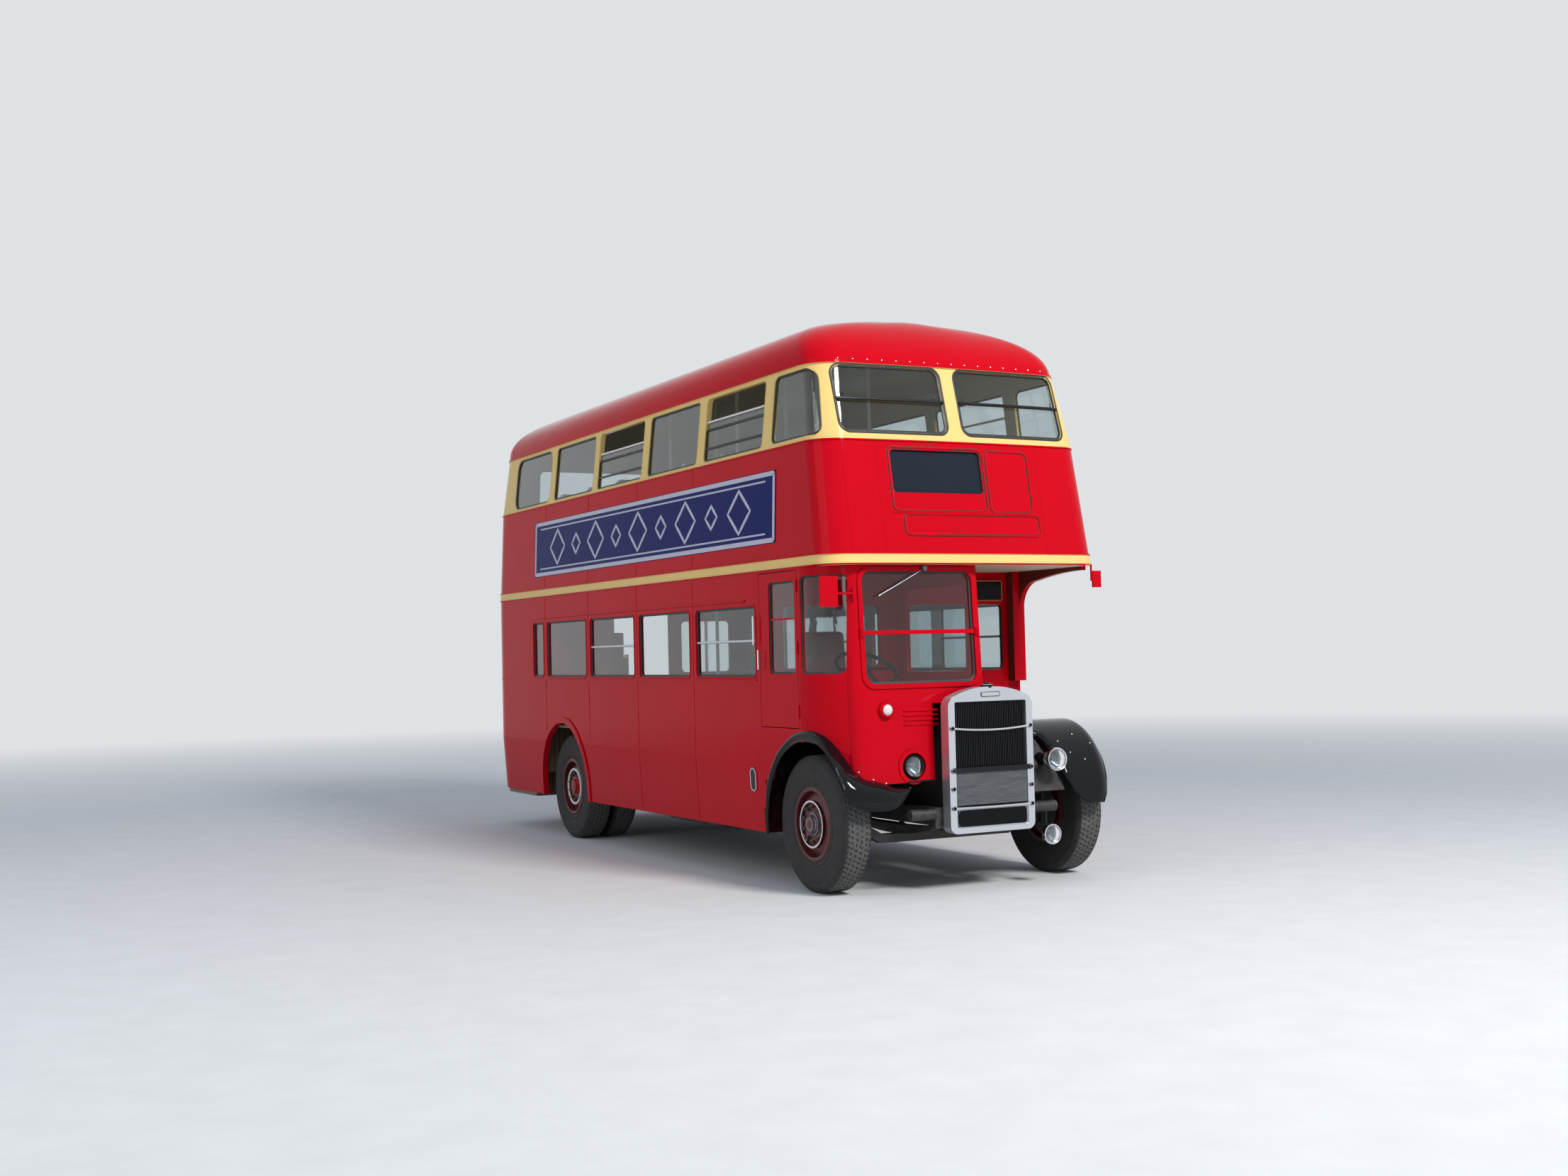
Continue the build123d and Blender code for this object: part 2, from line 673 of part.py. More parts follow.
def window_prisms():
    """All window prisms of the upper deck."""
    prisms = [side_cutter(window, side) for window in UPPER_SIDE_WINDOWS for side in (False, True)]
    for x, z, radius in FRONT_UPPER_WINDOWS:
        prisms.append(end_cutter((x[0] + 40, x[1] - 20), z, radius, (-600, 200)))
    prisms.append(end_cutter(*REAR_UPPER_WINDOW, (REAR_Y - 300, REAR_Y + 100)))
    return prisms


# Display boxes on the front as x range, z range and corner radius
FRONT_BOXES = (
    ((-630.0, 180.0), (2800.0, 3270.0), 45.0),
    ((222.0, 600.0), (2795.0, 3262.0), 45.0),
    ((-550.0, 650.0), (2622.0, 2768.0), 35.0),
)
BLIND = ((-616.0, 166.0), (2935.0, 3256.0), 32.0)
BLIND_DEPTH = 20.0
VENT_RAIL_Z = 3641.0


def vent_rails():
    """The opening rails across the two front windows of the upper deck."""
    skin = body_volume(UPPER_LEVELS, 2.0) - body_volume(UPPER_LEVELS, GLASS_DEPTH + GLASS + 6)
    made = []
    for x, z, radius in FRONT_UPPER_WINDOWS:
        made.append(skin & block((x[0] + 30, x[1] - 10), (-600, 0), (VENT_RAIL_Z - 11, VENT_RAIL_Z + 11)))
    return made


def front_boxes(shell):
    """Beaded display boxes, with a recess for the blind, and the opening rails above."""
    skin = body_volume(UPPER_LEVELS, -7.0) - body_volume(UPPER_LEVELS, 1.0)
    y = (-700.0, -150.0)
    for x, z, radius in FRONT_BOXES:
        outer = end_cutter((x[0] - 11, x[1] + 11), (z[0] - 11, z[1] + 11), radius + 11, y)
        shell += skin & (outer - end_cutter(x, z, radius, y))
    recess = body_volume(UPPER_LEVELS, -9.0) - body_volume(UPPER_LEVELS, BLIND_DEPTH)
    shell -= recess & end_cutter(*BLIND, y)
    for rail in vent_rails():
        shell += rail
    return shell


def upper_walls():
    """The upper deck's walls cut where the panels meet."""
    shell = body_volume(UPPER_LEVELS) - body_volume(UPPER_LEVELS, WALL)
    for low, high, proud in UPPER_BELTS:
        shell += belt(UPPER_LEVELS, (low, high), proud)
    for prism in window_prisms():
        shell -= prism
    for rail in window_rails(UPPER_LEVELS, UPPER_SIDE_WINDOWS, UPPER_RAILS):
        shell += rail
    shell = front_boxes(shell)
    high = (DECK_LOW_Z - 10, GUTTER_Z + 10)
    front_box = block((-SEAM_X, SEAM_X), (-700, 0), high)
    front = shell & front_box
    sides = shell & block((-1300, 1300), (-700, REAR_PANEL_Y), high)
    sides -= front_box
    offside = sides & block((-1300, 0), (-700, REAR_PANEL_Y), high)
    nearside = sides & block((0, 1300), (-700, REAR_PANEL_Y), high)
    rear = shell & block((-1300, 1300), (REAR_PANEL_Y, REAR_Y + 50), high)
    return front, offside, nearside, rear


def upper_floor():
    """The upper deck's floor, out over the bonnet as a canopy, with the stairwell."""
    inner = body_volume(UPPER_LEVELS, WALL)
    floor = inner & block((-1300, 1300), (-700, REAR_Y), (DECK_LOW_Z, DECK_Z))
    return floor - block(*STAIRWELL, (DECK_LOW_Z - 10, DECK_Z + 10))


def roof():
    """The domed roof above the gutter."""
    return roof_dome() - roof_dome(WALL)


def upper_glass():
    """Panes that fill the upper deck's windows, set in from the outside."""
    skin = body_volume(UPPER_LEVELS, GLASS_DEPTH) - body_volume(UPPER_LEVELS, GLASS_DEPTH + GLASS)
    panes = []
    for index in OPEN_UPPER_WINDOWS:
        y_front, y_rear = UPPER_SIDE_WINDOWS[index][:2]
        skin -= block((-1300, 0), (y_front - 20, y_rear + 20), (OPEN_SILL_Z, GUTTER_Z))
    for rail in window_rails(UPPER_LEVELS, UPPER_SIDE_WINDOWS, UPPER_RAILS) + vent_rails():
        skin -= rail
    for prism in window_prisms():
        panes.append(skin & prism)
    return group(*panes)


def lower_glass():
    """Panes of the lower deck and of the bulkheads."""
    skin = body_volume(LOWER_LEVELS, GLASS_DEPTH) - body_volume(LOWER_LEVELS, GLASS_DEPTH + GLASS)
    for rail in window_rails(LOWER_LEVELS, LOWER_OFFSIDE_WINDOWS, LOWER_RAILS):
        skin -= rail
    panes = [skin & side_cutter(window, False) for window in LOWER_OFFSIDE_WINDOWS]
    panes += [skin & side_cutter(window, True) for window in LOWER_NEARSIDE_WINDOWS]
    panes.append(skin & end_cutter(*REAR_LOWER_WINDOW, (REAR_Y - 200, REAR_Y + 100)))
    y = BULKHEAD_Y + GLASS_DEPTH
    panes.append(end_cutter((130.0, 1055.0), (1595.0, 2135.0), 45, (y, y + GLASS)))
    panes.append(end_cutter((-1000.0, -130.0), (1650.0, 2135.0), 45, (y, y + GLASS)))
    y = PLATFORM_Y - 28
    panes.append(end_cutter((480.0, 1060.0), (1595.0, 2140.0), 45, (y, y + GLASS)))
    return group(*panes)


# Seats
SEAT_W = 850.0


def bench(x, y, z, width=SEAT_W):
    """A forward facing double seat on its pedestal, its back to the rear."""
    profile = (
        (60, 0), (360, 0), (360, 320), (440, 330), (560, 880), (500, 900), (400, 450),
        (0, 460), (-20, 420), (0, 340), (60, 320),
    )
    seat = side_profile(profile, (-width / 2, width / 2))
    return Pos(x, y, z) * seat


UPPER_SEATS_Y = (150.0, 900.0, 1650.0, 2400.0, 3150.0, 3900.0, 4650.0)
UPPER_LAST_Y = 5500.0
LOWER_SEATS_Y = (880.0, 1560.0, 2240.0, 2920.0, 3600.0)
SEAT_X = 700.0


def upper_seats():
    """Two rows of double seats, with more at the back of the nearside."""
    seats = []
    for y in UPPER_SEATS_Y:
        seats += [bench(side * SEAT_X, y, DECK_Z) for side in (-1, 1)]
    for y in (UPPER_LAST_Y, UPPER_LAST_Y + 700):
        seats.append(bench(SEAT_X - 40, y, DECK_Z, 780))
    return group(*seats)


def lower_seats():
    """Double seats ahead of the rear axle and a long seat over each wheel box."""
    seats = []
    for y in LOWER_SEATS_Y:
        seats += [bench(side * SEAT_X, y, FLOOR_Z) for side in (-1, 1)]
    profile = (
        (600, 1110), (1150, 1110), (1165, 1560), (1110, 1570), (1040, 1210), (590, 1220), (585, 1140),
    )
    face = Plane.XZ * make_face(Polyline(*profile, close=True))
    long_seat = Pos(0, 4360, 0) * extrude(face, 1240, dir=(0, 1, 0))
    seats += [long_seat, mirrored(long_seat)]
    return group(*seats)


POLE_X = 252.0
LINING_Z = 4300.0


def upper_pole(x, y):
    """A pole from the upper floor up to the lining of the roof."""
    return rod_z(x, y, (DECK_Z, LINING_Z), 16)


def stairwell_guard():
    """The rail round the open edge of the stairwell on the upper deck."""
    x, y = STAIRWELL[0][1] + 25, STAIRWELL[1][0] - 25
    high = DECK_Z + 850
    guard = rod_y(x, (y, 6690), high, 12) + rod_x((-1080, x), y, high, 12)
    for post in ((x, y), (x, 6220), (x, 6690), (-1080, y)):
        guard += rod_z(*post, (DECK_Z, high + 14), 16)
    return guard


def handrails():
    """Upright poles from floor to ceiling, and the platform's pole."""
    poles = []
    for side in (-1, 1):
        for y in (LOWER_SEATS_Y[1], LOWER_SEATS_Y[3]):
            poles.append(rod_z(side * POLE_X, y + 480, (FLOOR_Z, DECK_LOW_Z), 16))
        for y in (UPPER_SEATS_Y[1], UPPER_SEATS_Y[3], UPPER_SEATS_Y[5]):
            poles.append(upper_pole(side * POLE_X, y + 480))
    poles.append(rod_z(1120, 6560, (PLATFORM_Z, DECK_LOW_Z), 19))
    poles.append(stairwell_guard())
    return group(*poles)


# Cab
# Plan outline of the cab, one row a level: height, front
CAB_LEVELS = ((780.0, -505.0), (1500.0, -480.0), (DECK_LOW_Z, -425.0))


def cab_outline(level, inset=0.0):
    """The cab in plan: it tapers in from the door to a round front corner."""
    z, front = level
    front += inset
    side = SIDE_X - inset
    corner = 1020.0 - inset * 0.6
    inner = CAB_INNER_X - inset
    edges = [
        Line((-side, BULKHEAD_Y), (-side, -10)),
        ThreePointArc((-side, -10), (-side + 52, -10 - 210), (-corner - 30, front + 75)),
        ThreePointArc((-corner - 30, front + 75), (-corner + 8, front + 22), (-corner + 70, front)),
        Line((-corner + 70, front), (inner, front)),
        Line((inner, front), (inner, BULKHEAD_Y)),
        Line((inner, BULKHEAD_Y), (-side, BULKHEAD_Y)),
    ]
    return Pos(0, 0, z) * make_face(edges)


def cab_volume(inset=0.0):
    """The space inside the cab's outline."""
    return loft([cab_outline(level, inset) for level in CAB_LEVELS], ruled=True)


WINDSCREEN = ((-930.0, 20.0), (1530.0, 2350.0), 70.0)
CAB_SIDE_WINDOW = (-400.0, -30.0, 1612.0, 2335.0, 50.0)
DOOR_WINDOW = (60.0, 475.0, 1615.0, 2310.0, 45.0)
CAB_SPLIT_X = -990.0


def cab_shell():
    """Cab walls with the windscreen, side window and inner window cut."""
    shell = cab_volume() - cab_volume(WALL)
    shell -= block((-1300, 200), (BULKHEAD_Y, BULKHEAD_Y + 100), (700, 2500))
    shell -= block((-SIDE_X + WALL, CAB_INNER_X - WALL), (300, 700), (700, 2500))
    shell -= end_cutter(*WINDSCREEN, (-700, -200))
    shell -= side_cutter(CAB_SIDE_WINDOW, False, 420)
    shell -= side_cutter((-330.0, 520.0, 1600.0, 2250.0, 45.0), True, SIDE_X)
    return shell


def cab_front_y(z):
    """Where the flat of the cab's front stands at a height."""
    for low, high in zip(CAB_LEVELS, CAB_LEVELS[1:]):
        if z <= high[0]:
            return low[1] + (high[1] - low[1]) * (z - low[0]) / (high[0] - low[0])
    return CAB_LEVELS[-1][1]


HEADLAMP = (-560.0, 925.0)
SIDE_LAMP = (-780.0, 1343.0)
LOUVRES_Z = (1228.0, 1262.0, 1296.0, 1330.0)
SCREEN_BAR_Z = 1904.0


def cab_front_details():
    """Windscreen surround, louvres and the pressed rings of the two lamps."""
    x, z, radius = WINDSCREEN
    edge = 34.0
    skin = cab_volume(-12.0) - cab_volume(1.0)
    outer = end_cutter((x[0] - edge, x[1] + edge), (z[0] - edge, z[1] + edge), radius + edge, (-700, -200))
    shape = skin & (outer - end_cutter(*WINDSCREEN, (-700, -200)))
    bar_skin = cab_volume(-8.0) - cab_volume(GLASS_DEPTH + GLASS + 8)
    shape += bar_skin & block((x[0] - 1, x[1] + 1), (-700, -200), (SCREEN_BAR_Z - 15, SCREEN_BAR_Z + 15))
    for louvre_z in LOUVRES_Z:
        shape += rod_x((-630, -335), cab_front_y(louvre_z), louvre_z, 8)
    lamp_y = cab_front_y(SIDE_LAMP[1])
    shape += rod_y(SIDE_LAMP[0], (lamp_y - 12, lamp_y + 6), SIDE_LAMP[1], 58)
    lamp_y = cab_front_y(HEADLAMP[1])
    shape += rod_y(HEADLAMP[0], (lamp_y - 9, lamp_y + 12), HEADLAMP[1], 130)
    shape += rod_y(HEADLAMP[0], (lamp_y, HEADLAMP_SEAT_Y + 6), HEADLAMP[1], 106)
    return shape - rod_y(HEADLAMP[0], (lamp_y - 60, HEADLAMP_SEAT_Y), HEADLAMP[1], 98)


HEADLAMP_SEAT_Y = -410.0


def cab_pieces():
    """Front and inner wall as one piece, the side round the door as another."""
    shell = cab_shell() - block((-1300, 200), (-700, 700), (0, APRON_Z))
    shell -= cab_volume(APRON_LIP) & block((-1300, 200), (-700, -250), (APRON_Z - 9, APRON_Z + 52))
    side_box = block((-1300, CAB_SPLIT_X), (-700, BULKHEAD_Y), (0, 2500))
    well = wing_volume(-2, WING_INNER_X) & block((0, 1300), (-440, 700), (0, 1300))
    side = (shell & side_box) - mirrored(well)
    door_slab = shell & block((-1300, -1100), DOOR_Y, DOOR_Z)
    side -= block(
        (-1300, -1100),
        (DOOR_Y[0] - DOOR_GAP, DOOR_Y[1] + DOOR_GAP),
        (DOOR_Z[0] - DOOR_GAP, DOOR_Z[1] + DOOR_GAP),
    )
    for z in DOOR_BARRELS_Z:
        side -= rod_z(*DOOR_HINGE, (z[0] - 5, z[1] + 5), 12)
    front = shell - side_box
    front -= block((-380, 400), (-700, 700), (0, CAB_COVER_Z - 40))
    front -= block((-CAB_INNER_X, 200), (-300, 700), (0, CAB_COVER_Z - 40))
    front -= block((CAB_SPLIT_X, 200), (-350, 700), (0, CAB_COVER_Z - 40))
    front -= rod_y(HEADLAMP[0], (-600, -380), HEADLAMP[1], 98)
    front += cab_front_details()
    return front, side, door_slab


def cab_floor():
    """The driver's floor over the wheel, and the cover over the engine."""
    inside = cab_volume(WALL)
    low = CAB_FLOOR_Z - 40
    floor = inside & block((-WING_LIP_X + 5, 200), (-700, BULKHEAD_Y), (low, CAB_FLOOR_Z))
    floor -= block((-360, 200), (-700, 700), (0, 1500))
    cover_x = CAB_INNER_X - WALL
    cover = block((-400, cover_x), (-700, BULKHEAD_Y), (low, CAB_COVER_Z)) & inside
    cover -= block((-360, 200), (-700, 700), (0, CAB_COVER_Z - 40))
    return floor + cover


def driver_seat():
    """The driver's seat on a pedestal."""
    profile = (
        (80, 0), (330, 0), (330, 260), (420, 280), (500, 780), (440, 790), (380, 390),
        (0, 400), (-10, 300), (80, 260),
    )
    seat = side_profile(profile, (-230, 230))
    return Pos(-760, 60, CAB_FLOOR_Z) * seat


def steering_wheel():
    """Steering wheel and column in the cab."""
    tilt = Pos(-760, -190, 1640) * Rot(32, 0, 0)
    section = Plane.XZ * Pos(225, 0) * RegularPolygon(15, 8)
    rim = tilt * revolve(section, Axis.Z)
    spokes = tilt * (Box(450, 22, 10) + Box(22, 450, 10))
    column = tilt * Pos(0, 0, -210) * Cylinder(22, 420)
    boss = tilt * Cylinder(38, 30)
    return rim + spokes + column + boss


# Front end
RADIATOR_Y = (-684.0, -585.0)
GUARD_Y = -692.0
GUARD_R = 7.5
GUARD_BARS_Z = (1195.0, 617.0)
COVER_BAR_Z = (872.0, 906.0)
STUDS_Z = (1195.0, 889.0, 757.0, 617.0)
STUD_X = 343.0


def radiator_outline(inset):
    """The radiator's front outline: round lower corners, shoulders and a crown."""
    half, low, shoulder, crown = 372 - inset, 430 + inset, 1400 - inset, 1490 - inset
    corner = 60.0
    edges = [
        Line((0, low), (half - corner, low)),
        ThreePointArc(
            (half - corner, low), (half - corner * 0.29, low + corner * 0.29), (half, low + corner)
        ),
        Line((half, low + corner), (half, shoulder - corner)),
        ThreePointArc(
            (half, shoulder - corner),
            (half - corner * 0.25, shoulder - 5),
            (half - corner * 1.2, shoulder + 35),
        ),
        ThreePointArc((half - corner * 1.2, shoulder + 35), (half * 0.45, crown - 14), (0, crown)),
        Line((0, crown), (0, low)),
    ]
    right = make_face(edges)
    return Plane.XZ * (right + mirror(right, Plane.YZ))


def radiator_shell():
    """The bright surround, open in front of the core, with its filler cap."""
    front, back = RADIATOR_Y
    body = Pos(0, back, 0) * extrude(radiator_outline(0), back - front, dir=(0, -1, 0))
    body -= end_cutter((-315, 315), (612, 1385), 12, (front - 20, back + 20))
    body -= end_cutter((-315, 315), (470, 606), 12, (front - 20, front + 12))
    body += rod_z(0, -640, (1470, 1508), 44) + rod_z(0, -640, (1500, 1522), 20)
    return body + end_cutter((-70, 70), (1422, 1456), 14, (front - 5, front + 5))


def radiator_grille():
    """Upright slats in front of the core."""
    core = end_cutter((-315, 315), (612, 1385), 12, (RADIATOR_Y[1] - 45, RADIATOR_Y[1]))
    slats = 42
    pitch = 630 / slats
    for i in range(1, slats):
        x = -315 + i * pitch
        core += block((x - 2.5, x + 2.5), (RADIATOR_Y[0] + 22, RADIATOR_Y[1] - 40), (612, 1385))
    return core


def guard_bar(z, sag):
    """A bowed round bar across the front of the radiator."""
    path = ThreePointArc((-STUD_X, GUARD_Y, z), (0, GUARD_Y, z - sag), (STUD_X, GUARD_Y, z))
    start = Plane(origin=path @ 0, z_dir=path % 0)
    return sweep(start * RegularPolygon(GUARD_R, 8), path=path)


def radiator_cover():
    """The blanking sheet, guard bars, studs and bare plate on the front of the radiator."""
    front = RADIATOR_Y[0]
    guard = block((-STUD_X, STUD_X), (front - 8, front), COVER_BAR_Z)
    for z in GUARD_BARS_Z:
        guard += guard_bar(z, 20.0 if z == GUARD_BARS_Z[0] else 4.0)
    for side in (-1, 1):
        for z in STUDS_Z:
            guard += rod_y(side * STUD_X, (-FRONT_OVERHANG, front), z, 15)
    sheet = block((-312, 312), (front + 3, front + 8), (634, 872))
    sheet += block((-312, 312), (front - 2, front + 8), (868, 874))
    plate = block((-300, 300), (front + 1, front + 11), (478, 598))
    return group(guard + sheet, plate)


def bonnet():
    """The bonnet top and its nearside flank, hinged beside the cab."""
    outer = (
        (CAB_INNER_X + 12, 1440), (250, 1440), (345, 1405), (365, 1330), (365, 1216),
        (350, 1216), (350, 1326), (333, 1393), (246, 1424), (CAB_INNER_X + 12, 1424),
    )
    face = Plane.XZ * make_face(Polyline(*outer, close=True))
    cover = Pos(0, -578, 0) * extrude(face, BULKHEAD_Y - 8 + 578, dir=(0, 1, 0))
    return cover + rod_y(CAB_INNER_X + 12, (-578, BULKHEAD_Y - 8), 1440, 6)


# Front wings. The wing's side view is a quarter round behind and a tighter one in front.
WING_TOP_Z = 1202.0
WING_REAR_Y = ARCH_REAR_Y - 2
WING_FRONT_Y = -640.0
WING_NOSE_Z = 640.0
WING_T = 12.0
WING_INNER_X = 600.0
WING_LIP_X = 1125.0
WING_CORE_R = 80.0
ARCH_CENTRE = (-20.0, 487.0)
ARCH_R = 600.0
# The wing's sections about the arch centre: angle from the rear, outer face, shoulder radius
WING_SECTIONS = (
    (-9.0, SIDE_X, 25.0),
    (6.0, SIDE_X, 25.0),
    (22.0, SIDE_X, 25.0),
    (40.0, SIDE_X, 35.0),
    (60.0, SIDE_X, 50.0),
    (85.0, SIDE_X, 90.0),
    (110.0, SIDE_X, 140.0),
    (132.0, 1205.0, 190.0),
    (150.0, 1175.0, 220.0),
    (166.0, 1125.0, 230.0),
)


def wing_radius(angle):
    """The wing's reach from the arch centre: one ellipse behind the top, another before it."""
    centre_y, centre_z = ARCH_CENTRE
    across = WING_REAR_Y - centre_y if angle < 90 else centre_y - WING_FRONT_Y
    turn = radians(angle)
    return 1 / ((cos(turn) / across) ** 2 + (sin(turn) / (WING_TOP_Z - centre_z)) ** 2) ** 0.5


def wing_section(section, inset, inner_x):
    """A section across the wing, from its core out to a round shoulder."""
    angle, outer, shoulder = section
    turn = radians(angle)
    reach = wing_radius(angle) - inset
    outer -= inset
    shoulder -= inset
    core = WING_CORE_R - inset
    across = Plane(
        origin=(0, *ARCH_CENTRE), x_dir=(1, 0, 0), z_dir=(0, -sin(turn), cos(turn))
    )
    half_turn = shoulder * (1 - cos(radians(45)))
    edges = [
        Line((inner_x, core), (inner_x, reach)),
        Line((inner_x, reach), (outer - shoulder, reach)),
        ThreePointArc(
            (outer - shoulder, reach),
            (outer - half_turn, reach - half_turn),
            (outer, reach - shoulder),
        ),
        Line((outer, reach - shoulder), (outer, core)),
        Line((outer, core), (inner_x, core)),
    ]
    return across * make_face(edges)


def wing_volume(inset, inner_x):
    """The space under a front wing, lofted round the wheel."""
    sections = list(WING_SECTIONS)
    if inset > 0:
        first, last = sections[0], sections[-1]
        sections[0] = (first[0] - 6.0, *first[1:])
        sections[-1] = (last[0] + 4.0, *last[1:])
    return loft([wing_section(section, inset, inner_x) for section in sections], ruled=True)


def wing(inner_x):
    """A mudguard shell, open below and inside, with a lip round the wheel."""
    shell = wing_volume(0, inner_x) - wing_volume(WING_T, inner_x - 10)
    y, z = ARCH_CENTRE
    shell -= rod_x((1000, 1300), y, z, ARCH_R)
    shell -= block((1000, 1300), (y - ARCH_R, y + ARCH_R), (0, z))
    shell -= block((0, 1300), (-900, -200), (0, WING_NOSE_Z))
    return shell - block((0, 560), (0, 700), (0, 900))


NEAR_LAMP = (640.0, -520.0, 915.0, 92.0, 130.0)


def wing_nearside():
    """The nearside wing, the plate beside the engine and a seat for the headlamp."""
    inner_x = 400.0
    plate = wing_volume(0, inner_x) & block((inner_x, inner_x + 12), (-700, 700), (WING_NOSE_Z, 1300))
    x, y, z, radius, depth = NEAR_LAMP
    return wing(inner_x) + plate - rod_y(x, (y - depth - 50, y + 2), z, radius + 1)


def wing_offside():
    """The offside wing: a lip along the cab side and a nose under the cab front."""
    shape = wing(WING_INNER_X)
    lip = shape & block((WING_LIP_X, 1300), (-900, 700), (0, 1300))
    nose = shape & block((WING_INNER_X, 1300), (-900, -380), (0, APRON_Z - 2))
    corner = shape & block((WING_INNER_X, 1300), (-900, 0), (APRON_Z - 3, 1300))
    corner -= mirrored(loft([cab_outline((z, CAB_LEVELS[0][1])) for z in (0, 1300)], ruled=True))
    corner -= block((0, 950), (-900, 0), (APRON_Z - 2, 1300))
    return mirrored(lip + nose + corner)


def lamp(x, y, z, radius, depth):
    """A round lamp bowl that faces forward, its back at y."""
    bowl = Rot(90, 0, 0) * Cylinder(radius, depth)
    return Pos(x, y - depth / 2, z) * bowl


TAIL_LAMP = (-930.0, 980.0)


def lamps():
    """Headlamps, a low fog lamp, the side lamp on the cab front and the tail lamp."""
    offside = lamp(HEADLAMP[0], HEADLAMP_SEAT_Y, HEADLAMP[1], 82, 100)
    nearside = lamp(*NEAR_LAMP)
    fog = lamp(575, -560, 360, 78, 95) + (block((560, 590), (-566, -546), (420, 545)) - front_tube())
    lamp_y = cab_front_y(SIDE_LAMP[1]) - 12
    small = lamp(SIDE_LAMP[0], lamp_y, SIDE_LAMP[1], 44, 26)
    tail = lamp(TAIL_LAMP[0], REAR_Y + 8, TAIL_LAMP[1], 42, 90) - body_volume(LOWER_LEVELS)
    return group(offside, nearside, fog, small, tail)


MIRROR_X = 1285.0


def mirrors():
    """Driving mirrors: one on an arm from the cab corner, one under the canopy."""
    plate = block((-MIRROR_X, -1140), (-465, -447), (2095, 2315))
    arm = rod_x((-1150, -985), -449, 2190, 9) + rod_z(-1000, -449, (2150, 2230), 12)
    offside = plate + (arm - cab_volume())
    nearside = block((1205, MIRROR_X), (-385, -371), (2230, 2360))
    nearside += rod_z(1195, -378, (2280, DECK_LOW_Z), 8)
    nearside += rod_x((1190, 1215), -378, 2290, 8)
    return group(offside, nearside - body_volume(UPPER_LEVELS))


SIDE_BOARD = ((350.0, 5700.0), (2610.0, 3165.0))


def side_boards():
    """A thin display board on each side of the upper deck."""
    skin = body_volume(UPPER_LEVELS, -6.0) - body_volume(UPPER_LEVELS)
    return skin & block((-1300, 1300), *SIDE_BOARD)


def build_all():
    """Every node of the bus by name."""
    lower_off, lower_near, lower_rear = lower_walls()
    upper_front, upper_off, upper_near, upper_rear = upper_walls()
    cab_front, cab_side, door_slab = cab_pieces()
    door_hole = side_cutter(DOOR_WINDOW, False)
    door_skin = cab_volume(GLASS_DEPTH) - cab_volume(GLASS_DEPTH + GLASS)
    door_rail = cab_volume(GLASS_DEPTH - 7) - cab_volume(GLASS_DEPTH + GLASS + 7)
    door_rail &= block((-1300, -1100), (DOOR_WINDOW[0] - 1, DOOR_WINDOW[1] + 1), (2020, 2034))
    door_leaf = door_slab - door_hole + door_rail
    door_leaf += side_handle(600, (1650, 1800), 34.0, 6.5)
    for z in DOOR_BARRELS_Z:
        door_leaf += rod_z(*DOOR_HINGE, z, 7)
    cab_panes = [
        (door_skin & end_cutter(*WINDSCREEN, (-700, -200))) - cab_front_details(),
        door_skin & side_cutter(CAB_SIDE_WINDOW, False, 420),
        door_skin & side_cutter((-330.0, 520.0, 1600.0, 2250.0, 45.0), True, SIDE_X),
    ]
    beam = axle_beam()
    yokes = king_pin_yoke()
    nodes = {
        "chassis_frame": chassis_frame(),
        "engine_block": engine_block(),
        "drive_line": drive_line(),
        "front_axle_beam": beam + yokes + mirrored(yokes),
        "leaf_springs": group(
            both_sides(leaf_spring(400, 60, 640, 430, 60)),
            both_sides(leaf_spring(400, WHEELBASE, 470, 395, 205)),
        ),
        "rear_axle": rear_axle(),
        "exhaust": exhaust(),
        "fuel_tank": fuel_tank(),
        "battery_box": battery_box(),
        "lower_side_offside": lower_off,
        "lower_side_nearside": lower_near,
        "lower_rear_panel": lower_rear,
        "bulkheads": bulkheads(),
        "lower_floor": lower_floor(),
        "lower_seats": lower_seats(),
        "lower_glass": lower_glass(),
        "staircase": staircase(),
        "upper_front_panel": upper_front,
        "upper_side_offside": upper_off,
        "upper_side_nearside": upper_near,
        "upper_rear_panel": upper_rear,
        "upper_floor": upper_floor(),
        "upper_glass": upper_glass(),
        "upper_seats": upper_seats(),
        "handrails": handrails(),
        "roof": roof(),
        "cab_front": cab_front,
        "cab_side": cab_side,
        "cab_floor": cab_floor(),
        "cab_glass": group(*cab_panes),
        "cab_door": door_leaf,
        "cab_door_glass": (door_skin & door_hole) - door_rail,
        "driver_seat": driver_seat(),
        "steering_wheel": steering_wheel(),
        "radiator_shell": radiator_shell(),
        "radiator_grille": radiator_grille(),
        "radiator_cover": radiator_cover(),
        "bonnet": bonnet(),
        "wing_nearside": wing_nearside(),
        "wing_offside": wing_offside(),
        "lamps": lamps(),
        "mirrors": mirrors(),
        "side_boards": side_boards(),
        "knuckle_nearside": knuckle(),
        "knuckle_offside": mirrored(knuckle()),
        "track_rod": track_rod(),
    }
    for side, nearside in (("nearside", True), ("offside", False)):
        nodes["front_tyre_" + side] = at_wheel(tyre(), FRONT_WHEEL_X, 0, nearside)
        nodes["front_wheel_" + side] = at_wheel(front_wheel(), FRONT_WHEEL_X, 0, nearside)
        twins = group(Pos(TWIN_OFFSET, 0, 0) * tyre(), Pos(-TWIN_OFFSET, 0, 0) * tyre())
        nodes["rear_tyres_" + side] = at_wheel(twins, REAR_WHEEL_X, WHEELBASE, nearside)
        nodes["rear_wheels_" + side] = at_wheel(rear_wheels(), REAR_WHEEL_X, WHEELBASE, nearside)
    return nodes


